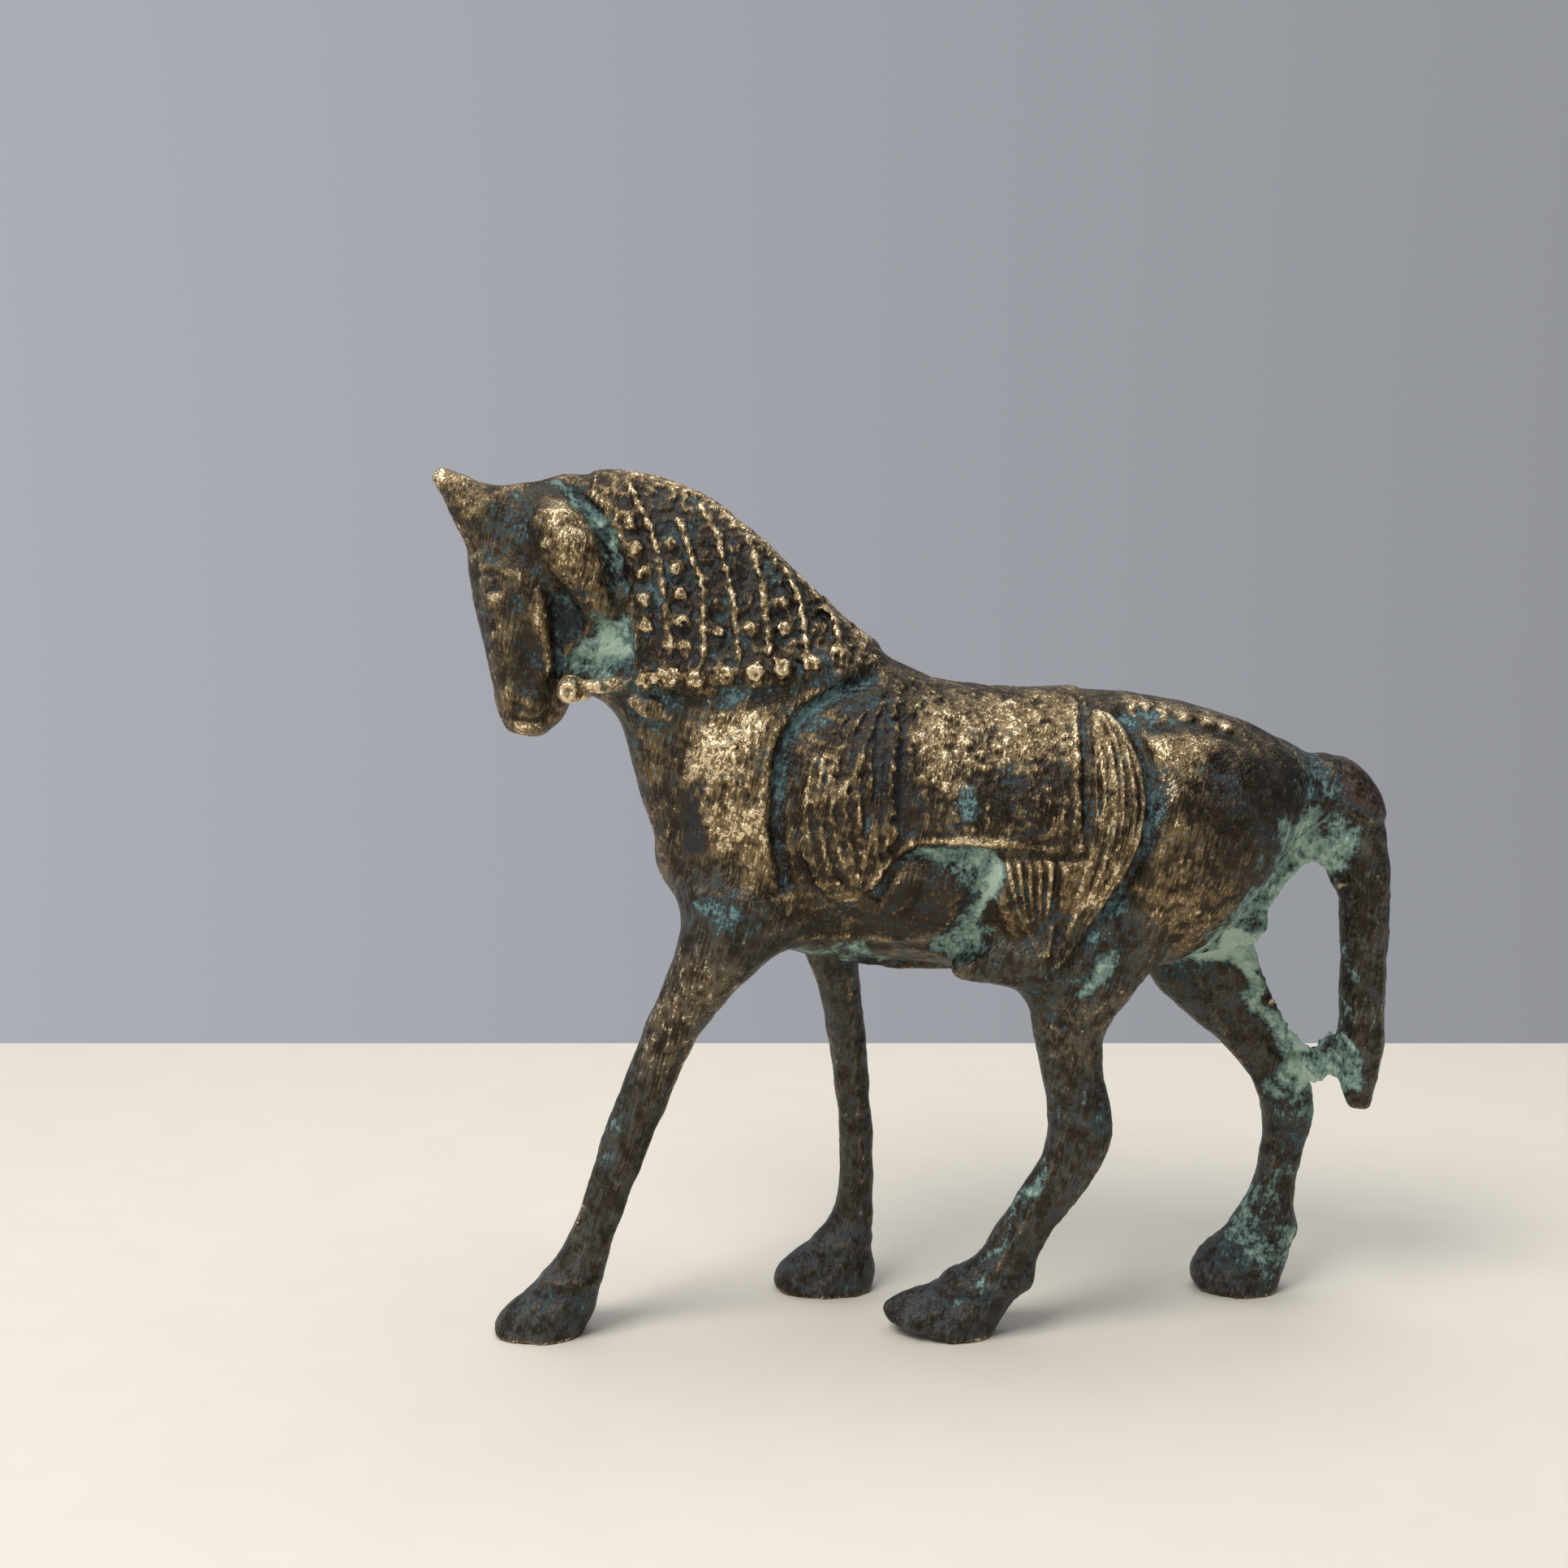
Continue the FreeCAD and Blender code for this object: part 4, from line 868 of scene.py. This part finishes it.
def build_pieces(field, distances, fields, left, right, materials):
    """One piece for each CAD node, with the wear, stains and painted highlights of its surface kept at its
    points.
    """
    first, second, which = distances
    edge = blur(field, EDGE_REACH)
    form = blur(field, FORM_REACH)
    drift = [wander(seed, STAIN_DRIFT) for seed in (21, 31)]
    for number, (name, (window, own)) in enumerate(fields.items()):
        solid = own_solid(number, own, field, first, second, which, window)
        grid = vdb.FloatGrid(1.0)
        grid.copyFromArray(np.ascontiguousarray(solid / VOXEL))
        points, quads = grid.convertToQuads(0.0)
        points, quads = without_crumbs(np.asarray(points), np.asarray(quads).astype(np.int64))
        cells = points + np.array([part.start for part in window])
        corners = points[quads[:, :3]]
        turns = np.cross(corners[:, 1] - corners[:, 0], corners[:, 2] - corners[:, 0])
        if (corners[:, 0] * turns).sum() < 0:
            quads = quads[:, ::-1]
        mesh = mesh_of(f"cast_{name}", ORIGIN + VOXEL * cells, quads)
        share = right_share(ORIGIN[1] + VOXEL * cells[:, 1])
        flat = cells[:, (0, 2)]
        stained = flat + np.stack([sampled(offset, flat) for offset in drift], axis=1)
        values = {"edge": sampled(edge, cells), "form": sampled(form, cells)}
        for layer in COLOURS:
            spots = flat if layer == "gold" else stained
            both = [sampled(getattr(side, layer), spots) for side in (left, right)]
            values[layer] = both[0] * (1 - share) + both[1] * share
        for layer, value in values.items():
            mesh.attributes.new(layer, "FLOAT", "POINT").data.foreach_set("value", value.astype(np.float32))
        made = bpy.data.objects.new(f"cast_{name}", mesh)
        bpy.context.scene.collection.objects.link(made)
        mesh.materials.append(materials[SLOT[name]])
        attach(made, "root")
        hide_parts(name)
        print(f"{name:22s} {len(quads):7d} quads")


# ---------------------------------------------------------------- materials
class Surface:
    """Short hands for building one procedural material. Its coordinates are millimetres."""

    def __init__(self, name):
        self.material = bpy.data.materials.new(name)
        self.material.use_nodes = True
        self.tree = self.material.node_tree
        self.tree.nodes.clear()
        place = self.tree.nodes.new("ShaderNodeTexCoord").outputs["Object"]
        scale = self.tree.nodes.new("ShaderNodeVectorMath")
        scale.operation = "SCALE"
        scale.inputs["Scale"].default_value = MM
        self.tree.links.new(place, scale.inputs[0])
        self.place = scale.outputs[0]

    def put(self, socket, value):
        """Sets the socket if the value is a number or colour, else links it."""
        if isinstance(value, (int, float, tuple)):
            socket.default_value = value
        else:
            self.tree.links.new(value, socket)

    def value(self, layer):
        """A value kept at the mesh's points."""
        node = self.tree.nodes.new("ShaderNodeAttribute")
        node.attribute_name = layer
        return node.outputs["Fac"]

    def math(self, operation, *values, clamp=False):
        node = self.tree.nodes.new("ShaderNodeMath")
        node.operation = operation
        node.use_clamp = clamp
        for socket, value in zip(node.inputs, values):
            self.put(socket, value)
        return node.outputs[0]

    def total(self, *terms):
        """Sum of (value, factor) pairs."""
        result = 0.0
        for value, factor in terms:
            result = self.math("MULTIPLY_ADD", value, factor, result)
        return result

    def noise(self, size, detail=2.0, roughness=0.55, length=1.0, lean=0.0):
        """Noise about zero with grains of that size, drawn out upwards to strokes that lean."""
        mapping = self.tree.nodes.new("ShaderNodeMapping")
        mapping.vector_type = "TEXTURE"
        mapping.inputs["Scale"].default_value = (1, 1, length)
        mapping.inputs["Rotation"].default_value = (0, math.radians(lean), 0)
        self.put(mapping.inputs["Vector"], self.place)
        node = self.tree.nodes.new("ShaderNodeTexNoise")
        self.put(node.inputs["Vector"], mapping.outputs[0])
        node.inputs["Scale"].default_value = 1.0 / size
        node.inputs["Detail"].default_value = detail
        node.inputs["Roughness"].default_value = roughness
        return self.math("SUBTRACT", node.outputs["Fac"], 0.5)

    def step(self, value, low, high):
        node = self.tree.nodes.new("ShaderNodeMapRange")
        node.interpolation_type = "SMOOTHSTEP"
        self.put(node.inputs["Value"], value)
        node.inputs["From Min"].default_value = low
        node.inputs["From Max"].default_value = high
        return node.outputs["Result"]

    def mix(self, share, a, b):
        node = self.tree.nodes.new("ShaderNodeMix")
        node.data_type = "RGBA"
        self.put(node.inputs["Factor"], share)
        self.put(node.inputs[6], a)
        self.put(node.inputs[7], b)
        return node.outputs[2]

    def blend(self, share, a, b):
        node = self.tree.nodes.new("ShaderNodeMix")
        self.put(node.inputs["Factor"], share)
        self.put(node.inputs[2], a)
        self.put(node.inputs[3], b)
        return node.outputs[0]

    def finish(self, colour, metallic, roughness, height, strength, depth):
        """Ends in a principled shader with the height as bump; the depth is in millimetres."""
        shader = self.tree.nodes.new("ShaderNodeBsdfPrincipled")
        bump = self.tree.nodes.new("ShaderNodeBump")
        bump.inputs["Strength"].default_value = strength
        bump.inputs["Distance"].default_value = depth / MM
        self.put(bump.inputs["Height"], height)
        self.put(shader.inputs["Base Color"], colour)
        self.put(shader.inputs["Metallic"], metallic)
        self.put(shader.inputs["Roughness"], roughness)
        self.put(shader.inputs["Normal"], bump.outputs[0])
        output = self.tree.nodes.new("ShaderNodeOutputMaterial")
        self.put(output.inputs["Surface"], shader.outputs[0])
        return self.material


GOLD = (0.84, 0.66, 0.41, 1)
BRASS = (0.235, 0.168, 0.085, 1)
BROWN = (0.078, 0.058, 0.036, 1)
UMBER = (0.036, 0.029, 0.022, 1)
BLACK = (0.020, 0.020, 0.024, 1)
TEAL = (0.034, 0.058, 0.066, 1)
SEA = (0.19, 0.33, 0.34, 1)
MINT = (0.165, 0.265, 0.225, 1)
PALE = (0.44, 0.58, 0.47, 1)
ASH = (0.105, 0.108, 0.100, 1)
COPPER = (0.24, 0.085, 0.045, 1)


def bronze(name, wear, dark, green, dust):
    """Old bronze: worn bright on what stands proud, with painted highlights in its gold mask, dark between,
    with verdigris in the hollows.
    """
    s = Surface(name)
    edge, form = s.value("edge"), s.value("form")
    gold, teal, pale, black, red = (s.value(layer) for layer in COLOURS)
    fleck = s.noise(0.5, detail=3.0, roughness=0.6)
    speck = s.noise(1.1, detail=4.0, roughness=0.65)
    blotch = s.noise(3.2, detail=6.0, roughness=0.62)
    cloud = s.noise(10.0, detail=3.0)
    brush = s.noise(0.34, detail=2.0, length=12.0, lean=14.0)
    # The gold mask carries real wear and painted highlights: the tops of the shoulder and the cheek, and
    # glints by the eye.
    wear_and_painted_highlight = s.total((gold, 0.62), (edge, 1.9), (form, 0.2), (speck, 1.0), (blotch, 2.0), (brush, 1.8),
                     (black, -0.5), (1.0, wear))
    shine = s.step(s.total((wear_and_painted_highlight, 1.0), (fleck, 2.6), (speck, 1.1)), 0.55, 0.85)
    tan = s.step(wear_and_painted_highlight, -0.15, 0.50)
    crust = s.step(s.total((black, 0.7), (speck, 1.5), (blotch, 1.8), (fleck, 0.8), (edge, -1.2),
                           (gold, -0.3), (1.0, dark)), 0.28, 0.60)
    damp = s.total((teal, 0.56), (edge, -0.6), (form, -0.3), (speck, 1.9), (fleck, 1.2), (blotch, 1.0),
                   (cloud, 1.6), (brush, 1.0), (1.0, green))
    mould = s.step(damp, 0.20, 0.50)
    lime = s.total((pale, 0.82), (edge, -0.5), (speck, 1.3), (blotch, 1.8), (fleck, 0.8), (cloud, 0.8),
                   (brush, 0.5))
    chalk = s.step(lime, 0.18, 0.60)
    colour = s.mix(s.step(blotch, -0.15, 0.15), UMBER, BROWN)
    colour = s.mix(tan, colour, BRASS)
    colour = s.mix(crust, colour, BLACK)
    ash = s.step(s.total((speck, 1.4), (blotch, 1.6), (brush, 1.4), (1.0, dust)), 0.0, 0.6)
    colour = s.mix(s.math("MULTIPLY", ash, 0.75), colour, ASH)
    colour = s.mix(mould, colour, s.mix(s.step(damp, 0.50, 0.95), TEAL, SEA))
    colour = s.mix(s.math("MULTIPLY", red, s.step(speck, -0.15, 0.1)), colour, COPPER)
    # Where gold metal shows: worn brass and, through the gold mask, painted highlights.
    bright = s.math("MULTIPLY", shine, s.math("SUBTRACT", 1.0, chalk))
    colour = s.mix(bright, colour, GOLD)
    powder = s.mix(s.step(lime, 0.35, 0.68), TEAL, MINT)
    powder = s.mix(s.step(lime, 0.66, 1.10), powder, PALE)
    colour = s.mix(chalk, colour, powder)
    dull = s.math("MAXIMUM", s.math("MULTIPLY", mould, s.math("SUBTRACT", 1.0, shine)), chalk)
    metallic = s.blend(dull, s.blend(crust, 0.95, 0.35), 0.0)
    roughness = s.blend(dull, s.blend(bright, s.blend(crust, 0.40, 0.52), 0.25), 0.86)
    height = s.total((fleck, 1.0), (speck, 0.8), (brush, 0.6), (bright, 0.12), (chalk, 0.2))
    return s.finish(colour, metallic, roughness, height, 0.9, 0.25)


def make_materials():
    return {
        "bronze_body": bronze("bronze_body", wear=0.0, dark=0.0, green=0.0, dust=-0.35),
        "bronze_relief": bronze("bronze_relief", wear=0.02, dark=0.0, green=0.0, dust=-0.35),
        "bronze_dark": bronze("bronze_dark", wear=-0.24, dark=0.05, green=0.04, dust=0.24),
        "verdigris_flash": bronze("verdigris_flash", wear=-0.25, dark=-0.1, green=0.2, dust=0.0),
    }


# ---------------------------------------------------------------- floor, light and camera
WALL = (0.352, 0.362, 0.396, 1)
TABLE = (0.88, 0.82, 0.71, 1)
DAYLIGHT = (1.0, 0.98, 0.95)


def plain_material(name, colour, roughness):
    """Paint with a faint mottle."""
    s = Surface(name)
    mottle = s.math("ADD", s.noise(14.0, detail=5.0), 0.5)
    shade = tuple(0.94 * part for part in colour[:3]) + (1,)
    return s.finish(s.mix(mottle, shade, colour), 0.0, roughness, mottle, 0.1, 0.2)


def make_floor():
    """A pale table top that ends behind the horse."""
    back, front, side = 0.174, -0.9, 1.2
    corners = [(-side, front, 0), (side, front, 0), (side, back, 0), (-side, back, 0)]
    mesh = bpy.data.meshes.new("table_top")
    mesh.from_pydata(corners, [], [(0, 1, 2, 3)])
    mesh.materials.append(plain_material("table_paint", TABLE, 0.6))
    table = bpy.data.objects.new("table_top", mesh)
    bpy.context.scene.collection.objects.link(table)


def make_world():
    """A plain wall all round, lighter to the left and darker behind the camera."""
    world = bpy.data.worlds.new("studio")
    world.use_nodes = True
    tree = world.node_tree
    background = tree.nodes["Background"]
    background.inputs["Color"].default_value = WALL
    way = tree.nodes.new("ShaderNodeTexCoord")
    parts = tree.nodes.new("ShaderNodeSeparateXYZ")
    tree.links.new(way.outputs["Generated"], parts.inputs[0])
    across = tree.nodes.new("ShaderNodeMath")
    across.operation = "MULTIPLY_ADD"
    tree.links.new(parts.outputs["X"], across.inputs[0])
    across.inputs[1].default_value = -0.42
    across.inputs[2].default_value = 1.0
    room = tree.nodes.new("ShaderNodeMapRange")
    tree.links.new(parts.outputs["Y"], room.inputs["Value"])
    room.inputs["From Min"].default_value = -0.7
    room.inputs["From Max"].default_value = 0.4
    room.inputs["To Min"].default_value = 0.68
    strength = tree.nodes.new("ShaderNodeMath")
    strength.operation = "MULTIPLY"
    tree.links.new(across.outputs[0], strength.inputs[0])
    tree.links.new(room.outputs[0], strength.inputs[1])
    tree.links.new(strength.outputs[0], background.inputs["Strength"])
    bpy.context.scene.world = world


def area_light(name, place, target, size, power, colour=(1, 1, 1)):
    """A round soft light that points at the target."""
    light = bpy.data.lights.new(name, "AREA")
    light.shape = "DISK"
    light.size = size
    light.energy = power
    light.color = colour
    lamp = bpy.data.objects.new(name, light)
    lamp.location = place
    lamp.rotation_euler = (Vector(target) - Vector(place)).to_track_quat("-Z", "Y").to_euler()
    bpy.context.scene.collection.objects.link(lamp)


def make_lights():
    middle = tuple((CAD_LOW + CAD_HIGH) / 2)
    area_light("window", (-0.40, -0.42, 0.80), middle, 0.52, 5.6, DAYLIGHT)
    area_light("ceiling", (0.10, 0.10, 0.95), middle, 0.8, 3.4)


def make_camera():
    """Level with the horse's jaw, looking a little down, from not quite two of its lengths away."""
    camera = bpy.data.cameras.new("camera")
    camera.sensor_width = 36.0
    camera.lens = 38.8
    middle = (CAD_LOW + CAD_HIGH) / 2
    eye = bpy.data.objects.new("camera", camera)
    eye.location = (middle.x - 0.0196, -0.250, 0.79 * CAD_HIGH.z)
    eye.rotation_euler = (math.radians(90 - 4.5), 0, 0)
    bpy.context.scene.collection.objects.link(eye)
    bpy.context.scene.camera = eye


def main():
    bpy.context.scene.view_settings.view_transform = "Standard"
    make_camera()
    make_floor()
    make_world()
    make_lights()
    materials = make_materials()
    names = sorted(frame["nodes"])
    fields = {name: node_field(name) for name in names}
    distances = nearest_nodes(fields)
    left, right = sculpt()
    field = cast(fields, left, right)
    build_pieces(field, distances, fields, left, right, materials)


main()
bpy.context.view_layer.update()
